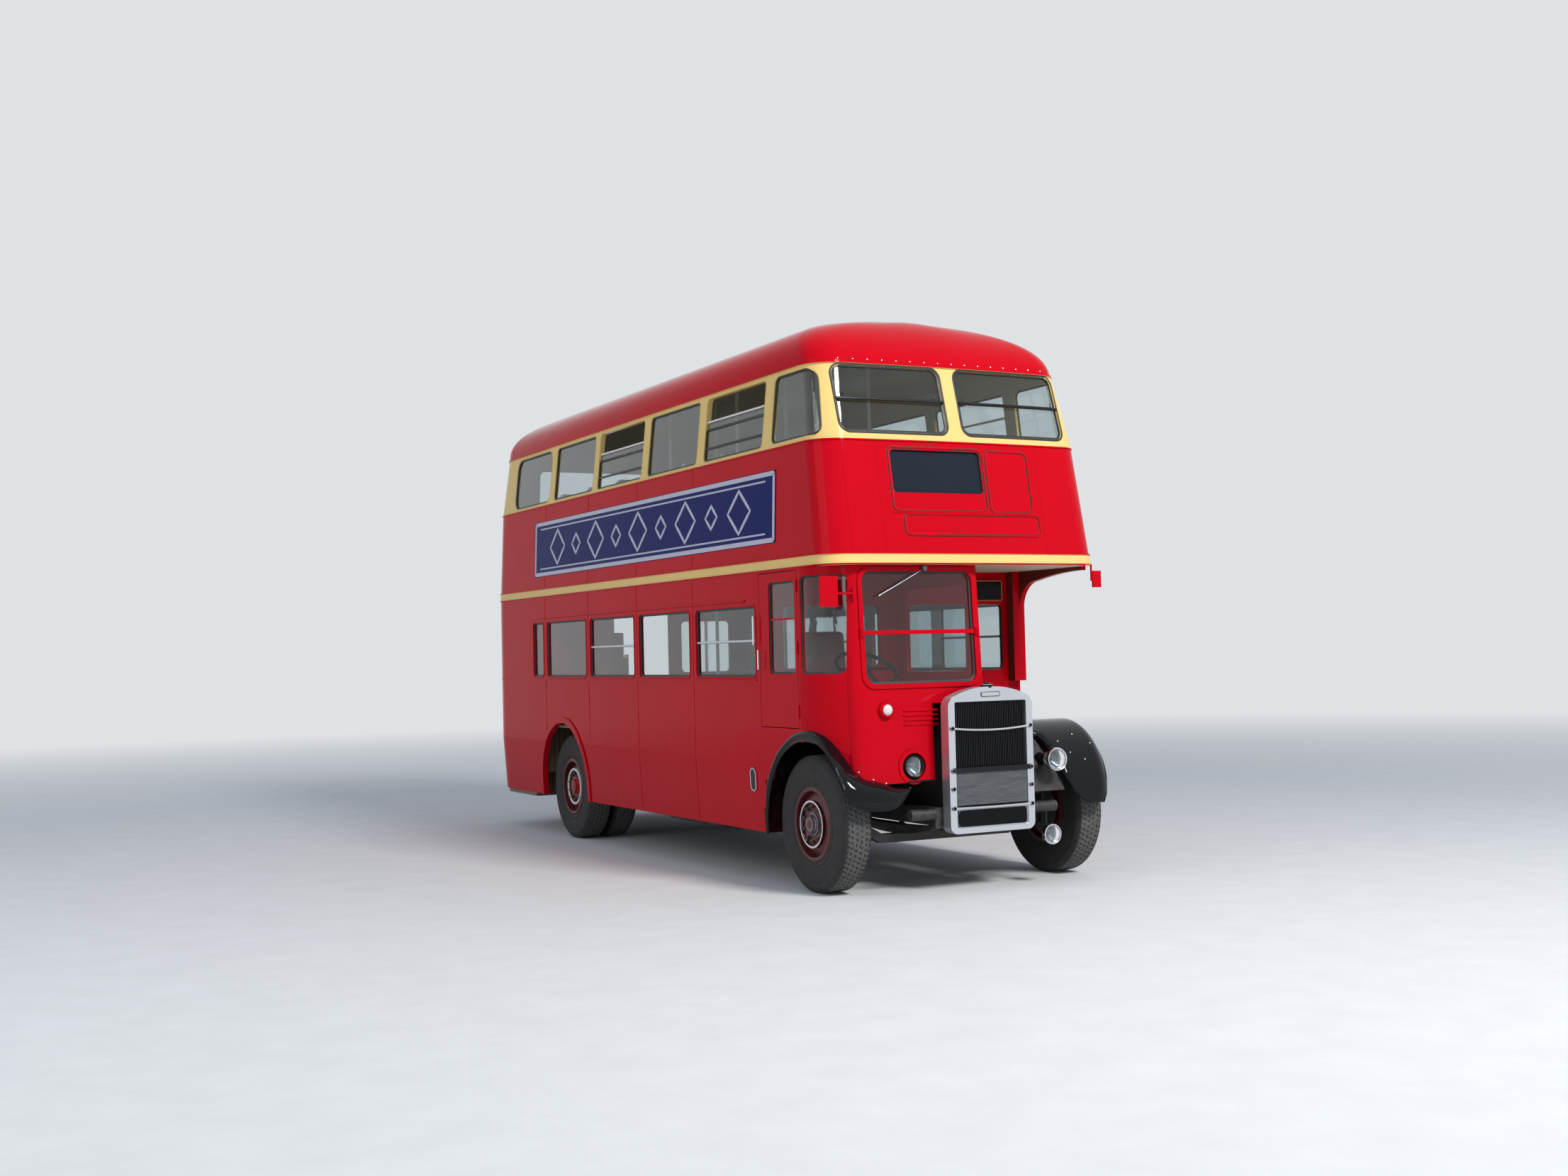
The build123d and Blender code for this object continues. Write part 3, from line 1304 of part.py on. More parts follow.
os.makedirs("parts", exist_ok=True)
TO_CENTRE = Pos(0, FRONT_OVERHANG - LENGTH / 2, 0)
for name, shape in build_all().items():
    export_step(TO_CENTRE * shape, f"parts/{name}.step")
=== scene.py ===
import math

import bmesh
import bpy
from mathutils import Matrix, Vector
from mathutils.bvhtree import BVHTree


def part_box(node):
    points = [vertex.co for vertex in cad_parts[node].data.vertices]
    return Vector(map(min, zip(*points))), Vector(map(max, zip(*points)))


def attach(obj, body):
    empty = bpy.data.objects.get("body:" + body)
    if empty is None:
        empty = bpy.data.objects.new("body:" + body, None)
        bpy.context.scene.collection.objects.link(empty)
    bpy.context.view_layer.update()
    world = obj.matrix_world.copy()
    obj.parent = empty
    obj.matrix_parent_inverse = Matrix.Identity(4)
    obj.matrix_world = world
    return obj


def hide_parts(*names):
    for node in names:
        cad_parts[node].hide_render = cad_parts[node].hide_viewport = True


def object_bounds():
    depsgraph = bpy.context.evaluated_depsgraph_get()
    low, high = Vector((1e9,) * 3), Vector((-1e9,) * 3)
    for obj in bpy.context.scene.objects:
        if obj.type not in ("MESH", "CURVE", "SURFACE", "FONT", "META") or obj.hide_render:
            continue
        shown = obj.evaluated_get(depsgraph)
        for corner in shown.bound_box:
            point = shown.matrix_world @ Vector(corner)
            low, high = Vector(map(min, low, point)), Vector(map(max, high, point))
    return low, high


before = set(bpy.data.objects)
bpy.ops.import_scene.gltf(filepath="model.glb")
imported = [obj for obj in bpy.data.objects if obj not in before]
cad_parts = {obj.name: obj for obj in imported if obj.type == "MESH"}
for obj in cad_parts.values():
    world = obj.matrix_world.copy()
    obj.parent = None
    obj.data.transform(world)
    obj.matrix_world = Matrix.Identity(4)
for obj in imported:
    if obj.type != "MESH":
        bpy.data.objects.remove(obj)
CAD_LOW, CAD_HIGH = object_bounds()

AHEAD, BACK = Vector((0, -1, 0)), Vector((0, 1, 0))
UP = Vector((0, 0, 1))
SIDES = (("offside", -1), ("nearside", 1))

# Places read from the frame, in metres. Y runs back along the bus from the front axle.
FRONT_LOW, FRONT_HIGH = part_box("front_tyre_offside")
REAR_LOW, REAR_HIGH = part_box("rear_tyres_offside")
AXLE_Y = (FRONT_LOW.y + FRONT_HIGH.y) / 2
REAR_AXLE_Y = (REAR_LOW.y + REAR_HIGH.y) / 2
HUB_Z = (FRONT_LOW.z + FRONT_HIGH.z) / 2
TYRE_R = (FRONT_HIGH.z - FRONT_LOW.z) / 2
TYRE_W = FRONT_HIGH.x - FRONT_LOW.x
FRONT_WHEEL_X = -(FRONT_LOW.x + FRONT_HIGH.x) / 2
REAR_WHEEL_X = -(REAR_LOW.x + REAR_HIGH.x) / 2
TWIN_OFFSET = (REAR_HIGH.x - REAR_LOW.x - TYRE_W) / 2
SIDE_X = 1.219
BELT_LOW, BELT_HIGH = 2.409, 2.477
SILL_Z, GUTTER_Z = 3.333, 3.917
LINING_Z = 3.340

# The arch over the front wheel: its centre from the axle, and its radius
ARCH_CENTRE = (-0.020, 0.487)
ARCH_R = 0.600

# Openings in the sides, from the front axle: front, rear, sill, head and corner radius
UPPER_WINDOWS = (
    (-0.330, 0.450, 3.365, 3.885, 0.060),
    (0.600, 1.660, 3.360, 3.885, 0.045),
    (1.800, 2.830, 3.360, 3.885, 0.045),
    (2.970, 4.030, 3.360, 3.885, 0.045),
    (4.150, 5.200, 3.360, 3.885, 0.045),
    (5.330, 6.400, 3.360, 3.885, 0.120),
)
DROPPED_WINDOWS = (1, 3)
LOWER_WINDOWS = tuple(
    (front, rear, 1.595, 2.140, 0.045)
    for front, rear in ((0.710, 1.790), (1.930, 2.990), (3.120, 4.180), (4.300, 5.360), (5.480, 5.770))
)
SLIDING_WINDOWS = (0, 2)
CAB_SIDE_WINDOW = (-0.400, -0.030, 1.612, 2.335, 0.050)
DOOR_WINDOW = (0.060, 0.475, 1.615, 2.310, 0.045)
FILLER = (0.760, 0.840, 0.715, 0.880, 0.038)
SIDE_BOARD = (0.350, 5.700, 2.610, 3.165)

# Openings seen from the front or rear: left, right, low, high and corner radius
WINDSCREEN = (-0.930, 0.020, 1.530, 2.350, 0.070)
FRONT_SILL, FRONT_HEAD, FRONT_WINDOW_R = 3.390, 3.900, 0.070
FRONT_UPPER_WINDOWS = (
    (-0.990, -0.080, FRONT_SILL, FRONT_HEAD, FRONT_WINDOW_R),
    (0.060, 1.010, FRONT_SILL, FRONT_HEAD, FRONT_WINDOW_R),
)
REAR_UPPER_WINDOW = (-0.640, 0.640, 3.340, 3.880, 0.070)
REAR_LOWER_WINDOW = (-0.640, 0.120, 1.450, 2.140, 0.060)
BLIND = (-0.616, 0.166, 2.935, 3.256, 0.032)
FRONT_BOXES = (
    (-0.630, 0.180, 2.800, 3.270, 0.045),
    (0.222, 0.600, 2.795, 3.262, 0.045),
    (-0.550, 0.650, 2.622, 2.768, 0.035),
)
NUMBER_BOX = (0.727, 1.032, 2.172, 2.323, 0.014)

# Colours as linear values
RED = (0.52, 0.002, 0.010)
BLACK = (0.004, 0.0045, 0.006)
SLATE = (0.016, 0.022, 0.032)
CREAM = (0.78, 0.55, 0.20)
LINING, LOWER_LINING = (0.62, 0.55, 0.38), (0.16, 0.035, 0.022)
BACKGROUND = (0.74, 0.76, 0.78)


def row(x, y, z):
    """A point given from the front axle, in the frame's own coordinates."""
    return Vector((x, AXLE_Y + y, z))


def share_of(value, low, high):
    """How far a value is from low to high, held between 0 and 1."""
    return min(max((value - low) / (high - low), 0.0), 1.0)


# Forms. Each is a list of points and a list of faces.


def grid(rings, close_along=False, close_across=False, caps=False):
    """Faces between rings that all have the same number of points."""
    across = len(rings[0])
    points = [p for ring in rings for p in ring]
    faces = []
    for i in range(len(rings) if close_along else len(rings) - 1):
        for j in range(across if close_across else across - 1):
            a, b = i * across, ((i + 1) % len(rings)) * across
            k = (j + 1) % across
            faces.append((a + j, a + k, b + k, b + j))
    if caps:
        faces.append(tuple(reversed(range(across))))
        faces.append(tuple(range(len(points) - across, len(points))))
    return points, faces


def face(points):
    """One flat face."""
    return points, [tuple(range(len(points)))]


def joined(*forms):
    """Several forms as one."""
    points, faces = [], []
    for form_points, form_faces in forms:
        start = len(points)
        points += form_points
        faces += [tuple(start + i for i in corners) for corners in form_faces]
    return points, faces


def moved(form, place, lean=0.0):
    """A form tipped about the X axis by degrees and set in place."""
    matrix = Matrix.Translation(place) @ Matrix.Rotation(math.radians(lean), 4, "X")
    return [matrix @ Vector(p) for p in form[0]], form[1]


def block(low, high):
    """A box between two corners."""
    xs, ys, zs = zip(low, high)
    points = [Vector((x, y, z)) for x in xs for y in ys for z in zs]
    faces = [(0, 1, 3, 2), (4, 6, 7, 5), (0, 4, 5, 1), (2, 3, 7, 6), (0, 2, 6, 4), (1, 5, 7, 3)]
    return points, faces


def spokes(axis, sides, side=None):
    """Directions spread evenly round an axis."""
    side = axis.orthogonal().normalized() if side is None else side
    other = axis.cross(side)
    turns = [2 * math.pi * k / sides for k in range(sides)]
    return [side * math.cos(t) + other * math.sin(t) for t in turns]


def tube(path, radius, sides=10, closed=False):
    """A round tube along a path of points."""
    rings = []
    side = None
    for i, point in enumerate(path):
        before = path[i - 1] if closed or i else point
        after = path[(i + 1) % len(path)] if closed or i < len(path) - 1 else point
        along = (after - before).normalized()
        if side is None:
            side = along.orthogonal().normalized()
        side = (side - along * side.dot(along)).normalized()
        rings.append([point + out * radius for out in spokes(along, sides, side)])
    return grid(rings, close_along=closed, close_across=True, caps=not closed)


def lathe(profile, centre, axis, steps=48):
    """A form turned about an axis through a centre, from (distance along it, radius) pairs."""
    rings = [[centre + axis * along + out * r for along, r in profile] for out in spokes(axis, steps)]
    return grid(rings, close_along=True)


def scaled(profile, depth, radius):
    """A lathe profile from its shares of a depth and a radius."""
    return [(depth * along, radius * out) for along, out in profile]


def shifted(profile, start):
    """A lathe profile moved along its axis."""
    return [(start + along, radius) for along, radius in profile]


def strip(places, section, closed=True):
    """A cross-section of (across, out) pairs laid along (point, normal) places on a surface."""
    rings = []
    count = len(places)
    for i, (point, normal) in enumerate(places):
        before = places[i - 1][0] if closed or i else point
        after = places[(i + 1) % count][0] if closed or i < count - 1 else point
        across = (after - before).cross(normal).normalized()
        rings.append([point + across * a + normal * h for a, h in section])
    return grid(rings, close_along=closed)


def half_round(width, height):
    """The cross-section of a half-round bead."""
    half = width / 2
    rise = [(half, -0.001), (half * 0.8, height * 0.6), (half * 0.35, height * 0.95)]
    return [(-a, h) for a, h in rise] + rise[::-1]


def flat_bar(width, height):
    """The cross-section of a flat strip with square edges."""
    half = width / 2
    return [(-half, -0.001), (-half, height), (half, height), (half, -0.001)]


RUBBER_SECTION = ((-0.009, -0.001), (-0.008, 0.008), (0.002, 0.011), (0.009, 0.012), (0.011, -0.001))


def line(start, end, pitch=0.1):
    """Evenly spaced points from one to another."""
    parts = max(1, round(math.dist(start, end) / pitch))
    return [tuple(a + (b - a) * k / parts for a, b in zip(start, end)) for k in range(parts + 1)]


def arc(a, b, radius, start, end, steps=9):
    """Points of an arc round a centre in its own plane, by angles in degrees."""
    turns = [math.radians(start + (end - start) * k / steps) for k in range(steps + 1)]
    return [(a + radius * math.cos(t), b + radius * math.sin(t)) for t in turns]


def rounded(low_a, high_a, low_b, high_b, radius, grow=0.0, steps=6, pitch=0.12):
    """Points round a rectangle with round corners, drawn out by an amount."""
    radius = max(radius + grow, 0.004)
    left, right = low_a - grow + radius, high_a + grow - radius
    low, high = low_b - grow + radius, high_b + grow - radius
    corners = []
    for a, b, start in ((right, high, 0), (left, high, 90), (left, low, 180), (right, low, 270)):
        corners += arc(a, b, radius, start, start + 90, steps)
    filled = []
    for i, point in enumerate(corners):
        filled += line(point, corners[(i + 1) % len(corners)], pitch)[:-1]
    return filled


def dome(place, radius, height, sides=8):
    """A rivet's or bolt's round head on a surface."""
    point, normal = place
    rings = []
    for share, level in ((1.0, -0.001), (0.92, 0.45), (0.55, 0.9), (0.04, 1.0)):
        rings.append([point + v * radius * share + normal * height * level for v in spokes(normal, sides)])
    return grid(rings, close_across=True)


def heads(places, radius, height, sides=8):
    """A round head at each place."""
    return joined(*[dome(place, radius, height, sides) for place in places])


def rivets(places, radius):
    """A small rivet's head at each place."""
    return heads(places, radius, radius * 0.45, 6)


def soft_box(size, radius, steps=4):
    """A cushion shape about its centre: a box whose edges and corners are round."""
    half = Vector(size) / 2
    radius = min(radius, *half)
    rings = []
    levels = 4 * steps
    for i in range(levels + 1):
        tilt = math.pi * i / levels - math.pi / 2
        ring = []
        for k in range(8 * steps):
            turn = 2 * math.pi * (k + 0.5) / (8 * steps)
            out = Vector((math.cos(tilt) * math.cos(turn), math.cos(tilt) * math.sin(turn), math.sin(tilt)))
            core = Vector([math.copysign(half[a] - radius, out[a]) for a in range(3)])
            if abs(out[2]) < 1e-6:
                core[2] = 0.0
            ring.append(core + out * radius)
        rings.append(ring)
    return grid(rings, close_across=True)


class Skin:
    """The outside of some CAD nodes or made pieces, for beads and rivets to lie on."""

    def __init__(self, *nodes):
        points, faces = [], []
        for node in nodes:
            mesh = (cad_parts[node] if isinstance(node, str) else node).data
            start = len(points)
            points += [v.co.copy() for v in mesh.vertices]
            faces += [tuple(start + i for i in p.vertices) for p in mesh.polygons]
        self.tree = BVHTree.FromPolygons(points, faces)

    def hit(self, origin, direction):
        """The first place on the skin along a ray, as a point and its outward normal."""
        point, normal, _, _ = self.tree.ray_cast(origin, direction)
        if point is None:
            return None
        return point, -normal if normal.dot(direction) > 0 else normal

    def side(self, points, sign):
        """Places under (y, z) points on one side of the bus."""
        found = [self.hit(row(sign * 2.0, y, z), Vector((-sign, 0, 0))) for y, z in points]
        return [p for p in found if p and p[0].x * sign > 0.9]

    def run(self, points, sign):
        """Places on one side, in the order in which a strip along them faces outward."""
        places = self.side(points, sign)
        return places if sign > 0 else places[::-1]

    def front(self, points, reach=0.9):
        """Places under (x, z) points on the front."""
        found = [self.hit(row(x, -1.5, z), BACK) for x, z in points]
        return [p for p in found if p and p[0].y < AXLE_Y + reach]

    def rear(self, points):
        """Places under (x, z) points on the rear."""
        found = [self.hit(row(x, 8.5, z), AHEAD) for x, z in points]
        return [p for p in found if p and p[0].y > AXLE_Y + 6.5]


def raised(places, height):
    """The points a little above places on a surface."""
    return [point + normal * height for point, normal in places]


def added(name, data):
    """A new object in the scene."""
    made = bpy.data.objects.new(name, data)
    bpy.context.scene.collection.objects.link(made)
    return made


def piece(name, form, material, body="root", smooth=True, stands_for=(), split=35.0):
    """One visual piece from a form or a list of forms, on its body, in its material."""
    points, faces = joined(*form) if isinstance(form, list) else form
    mesh = bpy.data.meshes.new(name)
    mesh.from_pydata([tuple(p) for p in points], [], faces)
    mesh.materials.append(material if not isinstance(material, str) else MATERIALS[material])
    for polygon in mesh.polygons:
        polygon.use_smooth = smooth
    if smooth:
        mesh.set_sharp_from_angle(angle=math.radians(split))
    made = added(name, mesh)
    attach(made, body)
    if stands_for:
        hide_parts(*stands_for)
    return made


def smooth_skin(node, material):
    """A lofted CAD panel as it is, with its shading smoothed from one section to the next."""
    shape = bmesh.new()
    shape.from_mesh(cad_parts[node].data)
    bmesh.ops.remove_doubles(shape, verts=shape.verts, dist=0.0002)
    form = [v.co.copy() for v in shape.verts], [tuple(v.index for v in f.verts) for f in shape.faces]
    shape.free()
    piece("smooth_" + node, form, material, stands_for=(node,), split=24.0)


# Materials


class Nodes:
    """A material, or the world, whose nodes are added and joined by short calls."""

    def __init__(self, name, world=False):
        self.made = bpy.data.worlds.new(name) if world else bpy.data.materials.new(name)
        self.made.use_nodes = True
        self.tree = self.made.node_tree
        self.shader = self.tree.nodes.get("Principled BSDF")

    def add(self, kind, settings=None, **inputs):
        """One node, with its settings, and its inputs as values or other nodes' outputs."""
        node = self.tree.nodes.new("ShaderNode" + kind)
        for key, value in (settings or {}).items():
            setattr(node, key, value)
        for key, value in inputs.items():
            self.put(node, key.replace("_", " "), value)
        return node

    def put(self, node, name, value):
        """Sets an input, by its name or number, to a value, a colour or another node's output."""
        numbered = name[0] == "i" and name[1:].isdigit()
        socket = node.inputs[int(name[1:])] if numbered else node.inputs[name]
        if isinstance(value, bpy.types.NodeSocket):
            self.tree.links.new(value, socket)
        else:
            socket.default_value = (*value, 1.0) if socket.type == "RGBA" else value

    def math(self, operation, a, b=0.0):
        """The output of a Math node."""
        return self.add("Math", {"operation": operation}, i0=a, i1=b).outputs[0]

    def times(self, a, b):
        """One value times another."""
        return self.math("MULTIPLY", a, b)

    def plus(self, a, b):
        """One value plus another."""
        return self.math("ADD", a, b)

    def above(self, value, edge):
        """1 above the edge, 0 below it."""
        return self.math("GREATER_THAN", value, edge)

    def below(self, value, edge):
        """1 below the edge, 0 above it."""
        return self.math("LESS_THAN", value, edge)

    def between(self, value, low, high):
        """1 between two edges, 0 outside them."""
        return self.times(self.above(value, low), self.below(value, high))

    def either(self, a, b):
        """The larger of two values."""
        return self.math("MAXIMUM", a, b)

    def mix(self, share, a, b):
        """The output of a colour mix."""
        return self.add("MixRGB", i0=share, i1=a, i2=b).outputs[0]

    def place(self):
        """Object coordinates, which are the frame's own."""
        return self.add("TexCoord").outputs["Object"]

    def axes(self):
        """The x, y and z of the place."""
        return self.add("SeparateXYZ", Vector=self.place()).outputs

    def facing(self):
        """The x, y and z of the face's own normal."""
        return self.add("SeparateXYZ", Vector=self.add("NewGeometry").outputs["True Normal"]).outputs

    def noise(self, scale, detail=3.0, roughness=0.5, vector=None):
        """A noise value about 0.5."""
        vector = vector or self.place()
        return self.add("TexNoise", Vector=vector, Scale=scale, Detail=detail, Roughness=roughness).outputs[0]

    def ramp(self, value, low, high):
        """A value stretched so that low gives 0 and high gives 1."""
        return self.add("MapRange", i0=value, i1=low, i2=high).outputs[0]

    def patches(self, low, high, scale, detail=3.0, roughness=0.5):
        """Noise stretched between two of its levels."""
        return self.ramp(self.noise(scale, detail, roughness), low, high)

    def panel(self, a, b, outline):
        """1 inside a rectangle with round corners."""
        left, right, low, high, radius = outline
        squares = []
        for value, start, end in ((a, left, right), (b, low, high)):
            off = self.math("ABSOLUTE", self.math("SUBTRACT", value, (start + end) / 2))
            over = self.either(self.math("SUBTRACT", off, (end - start) / 2 - radius), 0.0)
            squares.append(self.times(over, over))
        return self.below(self.plus(*squares), radius * radius)

    def radius(self, y, z):
        """The distance from an axle's line, given by its y and z."""
        place = self.axes()
        dy = self.math("SUBTRACT", place[1], y)
        dz = self.math("SUBTRACT", place[2], z)
        return self.math("SQRT", self.plus(self.times(dy, dy), self.times(dz, dz)))

    def bump(self, height, strength, distance=0.001):
        """Feeds a bump from a height to the shader."""
        made = self.add("Bump", Strength=strength, Distance=distance, Height=height)
        self.put(self.shader, "Normal", made.outputs[0])

    def set(self, **values):
        """Sets the shader's own inputs."""
        for key, value in values.items():
            self.put(self.shader, key.replace("_", " "), value)
        return self.made

    def covered(self, share, other):
        """Mixes the shader with another one at the material's output."""
        mixed = self.add("MixShader", i0=share, i1=self.shader.outputs[0], i2=other).outputs[0]
        self.put(self.tree.nodes["Material Output"], "Surface", mixed)
        return self.made


def striped(n, x, y, z, base):
    """Cream above the upper sills and on the band between the decks."""
    cream = n.either(n.between(z, SILL_Z, GUTTER_Z), n.between(z, BELT_LOW, BELT_HIGH))
    return n.mix(cream, base, CREAM)


def lined(n, x, y, z, base, ceiling):
    """The lining's colour on the faces that look in towards the middle of the bus."""
    across, along, up = n.facing()
    middle = n.either(n.math("MINIMUM", y, CAD_HIGH[1] - 1.2), CAD_LOW[1] + 1.9)
    outward = n.plus(n.times(across, x), n.times(along, n.math("SUBTRACT", y, middle)))
    inside = n.below(outward, -0.05)
    if ceiling:
        inside = n.either(inside, n.below(up, -0.3))
    return n.mix(inside, base, n.mix(n.above(z, LINING_Z), LOWER_LINING, LINING))


def arch_painted_shade(n, x, y, z, base):
    """Painted shade: black on the faces that look into the wheel's arch, and low on the bulkhead behind it.
    """
    across, along, up = n.facing()
    hidden = n.times(n.below(n.times(across, n.math("SIGN", x)), 0.5), n.above(along, -0.4))
    inside = n.times(hidden, n.below(n.radius(AXLE_Y - 0.05, ARCH_CENTRE[1]), 0.73))
    low = n.times(n.between(y, AXLE_Y + 0.55, AXLE_Y + 0.66), n.below(z, 1.24))
    wall = n.times(low, n.below(n.math("ABSOLUTE", x), 1.20))
    return n.mix(n.either(inside, wall), base, BLACK)


def blinds(n, x, y, z, base):
    """The dark pane in the recess of the front display box."""
    left, right, low, high, radius = BLIND
    pane = n.panel(x, z, (left - 0.001, right + 0.001, low - 0.001, high + 0.001, radius))
    return n.mix(n.times(pane, n.below(y, AXLE_Y - 0.2)), base, SLATE)


def paint(
    name, colour, roughness=0.07, wave=0.05, dust_z=1.1, dust=(0.26, 0.022, 0.020), shine=0.05,
    marks=(), ceiling=None,
):
    """Gloss paint: faint waves in the panels, fading, small chips, and road dust low down."""
    n = Nodes(name)
    x, y, z = n.axes()
    base = colour
    for mark in marks:
        base = mark(n, x, y, z, base)
    fade = n.times(n.patches(0.35, 0.75, 1.7, 4.0), 0.25)
    base = n.add("HueSaturation", Value=0.80, Fac=fade, Color=base).outputs[0]
    low = n.times(n.ramp(z, dust_z, 0.35), n.patches(0.35, 0.8, 9.0, 6.0, 0.6))
    base = n.mix(n.times(low, 0.35), base, dust)
    chip = n.times(n.patches(0.72, 0.80, 240.0, 2.0), 0.3)
    base = n.add("HueSaturation", Value=0.35, Fac=chip, Color=base).outputs[0]
    if ceiling is not None:
        base = lined(n, x, y, z, base, ceiling)
    smear = n.times(n.patches(0.4, 0.9, 6.0, 5.0, 0.6), 0.10)
    rough = n.plus(n.times(low, 0.30), n.plus(roughness, smear))
    n.bump(n.plus(n.noise(2.3, 1.0), n.times(n.noise(500.0, 2.0), 0.006)), wave, 0.03)
    return n.set(Base_Color=base, Roughness=rough, Specular_IOR_Level=shine)


def plain(name, colour, roughness=0.5, metallic=0.0, grain=60.0, depth=0.3, shift=0.35, **more):
    """A surface with a mottled tone and a fine grain."""
    n = Nodes(name)
    base = n.mix(n.patches(0.3, 0.7, grain / 6, 5.0), colour, tuple(c * (1 - shift) for c in colour))
    rough = n.plus(n.times(n.noise(grain / 3, 4.0), 0.25), max(roughness - 0.12, 0.0))
    n.bump(n.noise(grain * 4, 4.0), depth)
    return n.set(Base_Color=base, Roughness=rough, Metallic=metallic, **more)


def grimy(name, colour, roughness=0.55, metallic=0.0):
    """Painted metal under the bus, with road dirt and a little rust."""
    n = Nodes(name)
    dirt = n.patches(0.42, 0.72, 14.0, 6.0, 0.65)
    rust = n.patches(0.62, 0.72, 33.0, 5.0, 0.6)
    base = n.mix(n.times(dirt, 0.55), colour, (0.10, 0.08, 0.06))
    base = n.mix(n.times(rust, 0.6), base, (0.13, 0.045, 0.018))
    n.bump(n.noise(160.0, 5.0), 0.35)
    return n.set(Base_Color=base, Roughness=n.plus(roughness - 0.1, n.times(dirt, 0.3)), Metallic=metallic)


def glass(name, tint=(0.70, 0.76, 0.77)):
    """Clear safety glass that lets the lamps' light through."""
    n = Nodes(name)
    n.bump(n.noise(1.5, 1.0), 0.03, 0.01)
    smear = n.times(n.patches(0.5, 0.9, 5.0, 5.0, 0.6), 0.05)
    n.set(Base_Color=tint, Roughness=smear, IOR=1.45, Transmission_Weight=1.0)
    clear = n.add("BsdfTransparent", Color=tint).outputs[0]
    return n.covered(n.add("LightPath").outputs["Is Shadow Ray"], clear)


def boards(name, colour, pitch=0.06):
    """Slatted floor boards that run along the bus."""
    n = Nodes(name)
    groove = n.below(n.math("PINGPONG", n.axes()[0], pitch / 2), 0.004)
    streak = n.add("Mapping", Vector=n.place(), Scale=(30.0, 1.5, 30.0)).outputs[0]
    grain = n.noise(4.0, 6.0, 0.6, streak)
    base = n.mix(grain, colour, tuple(c * 0.5 for c in colour))
    n.bump(n.math("SUBTRACT", n.times(grain, 0.2), groove), 0.5, 0.003)
    return n.set(Base_Color=n.mix(groove, base, (0.02, 0.015, 0.01)), Roughness=0.55)


def moquette(name):
    """Woven seat cloth in a small two tone check."""
    n = Nodes(name)
    weave = n.add("TexVoronoi", {"feature": "F1"}, Vector=n.place(), Scale=220.0).outputs[0]
    x, y, z = n.axes()
    bands = n.above(n.math("PINGPONG", x, 0.03), 0.018)
    check = n.times(bands, n.above(n.math("PINGPONG", n.plus(y, z), 0.04), 0.026))
    base = n.mix(n.times(check, 0.8), (0.16, 0.022, 0.02), (0.035, 0.06, 0.04))
    base = n.mix(n.times(weave, 0.4), base, (0.3, 0.22, 0.12))
    n.bump(weave, 0.5, 0.002)
    return n.set(Base_Color=base, Roughness=0.9, Sheen_Weight=0.35)


def wheel_paint(name, hub):
    """Red-brown wheel paint, dusty towards the rim."""
    n = Nodes(name)
    dust = n.times(n.ramp(n.radius(hub.y, hub.z), 0.1, 0.27), n.patches(0.3, 0.8, 12.0, 6.0, 0.6))
    base = n.mix(n.times(dust, 0.5), (0.085, 0.006, 0.008), (0.07, 0.04, 0.03))
    n.bump(n.noise(200.0, 4.0), 0.2)
    return n.set(Base_Color=base, Roughness=n.plus(0.3, n.times(dust, 0.4)))


def rubber(name, hub):
    """Tyre rubber with pale road dust where the tread meets the road."""
    n = Nodes(name)
    base = n.mix(n.patches(0.35, 0.75, 18.0, 6.0, 0.65), (0.010, 0.010, 0.011), (0.026, 0.024, 0.022))
    worn = n.ramp(n.radius(hub.y, hub.z), TYRE_R - 0.006, TYRE_R - 0.001)
    mottle = n.times(n.patches(0.2, 0.7, 60.0, 5.0, 0.6), 0.8)
    base = n.mix(n.times(worn, mottle), base, (0.15, 0.145, 0.14))
    n.bump(n.noise(260.0, 5.0), 0.3)
    return n.set(Base_Color=base, Roughness=0.78)


def creased(name, colour):
    """A flexible sheet with soft creases, its colour darkened in their hollows as painted shade."""
    n = Nodes(name)
    drawn = n.add("Mapping", Vector=n.place(), Scale=(3.0, 1.0, 11.0)).outputs[0]
    folds = n.noise(1.6, 3.0, 0.6, drawn)
    # Painted shade: the colour runs darker where the folds sink.
    base = n.mix(n.ramp(folds, 0.3, 0.7), tuple(c * 0.75 for c in colour), colour)
    n.bump(n.plus(folds, n.times(n.noise(400.0), 0.03)), 0.8, 0.02)
    return n.set(Base_Color=base, Roughness=0.55)


def floor_material():
    """A pale floor that fades into the background far from the object."""
    n = Nodes("floor_pale")
    distance = n.add("VectorMath", {"operation": "LENGTH"}, i0=n.place()).outputs["Value"]
    n.set(Base_Color=n.mix(n.patches(0.3, 0.8, 3.0, 6.0, 0.6), (0.70, 0.70, 0.69), (0.64, 0.64, 0.63)))
    n.set(Roughness=0.8)
    glow = n.add("Emission", Color=BACKGROUND, Strength=1.0).outputs[0]
    return n.covered(n.ramp(distance, 9.0, 30.0), glow)


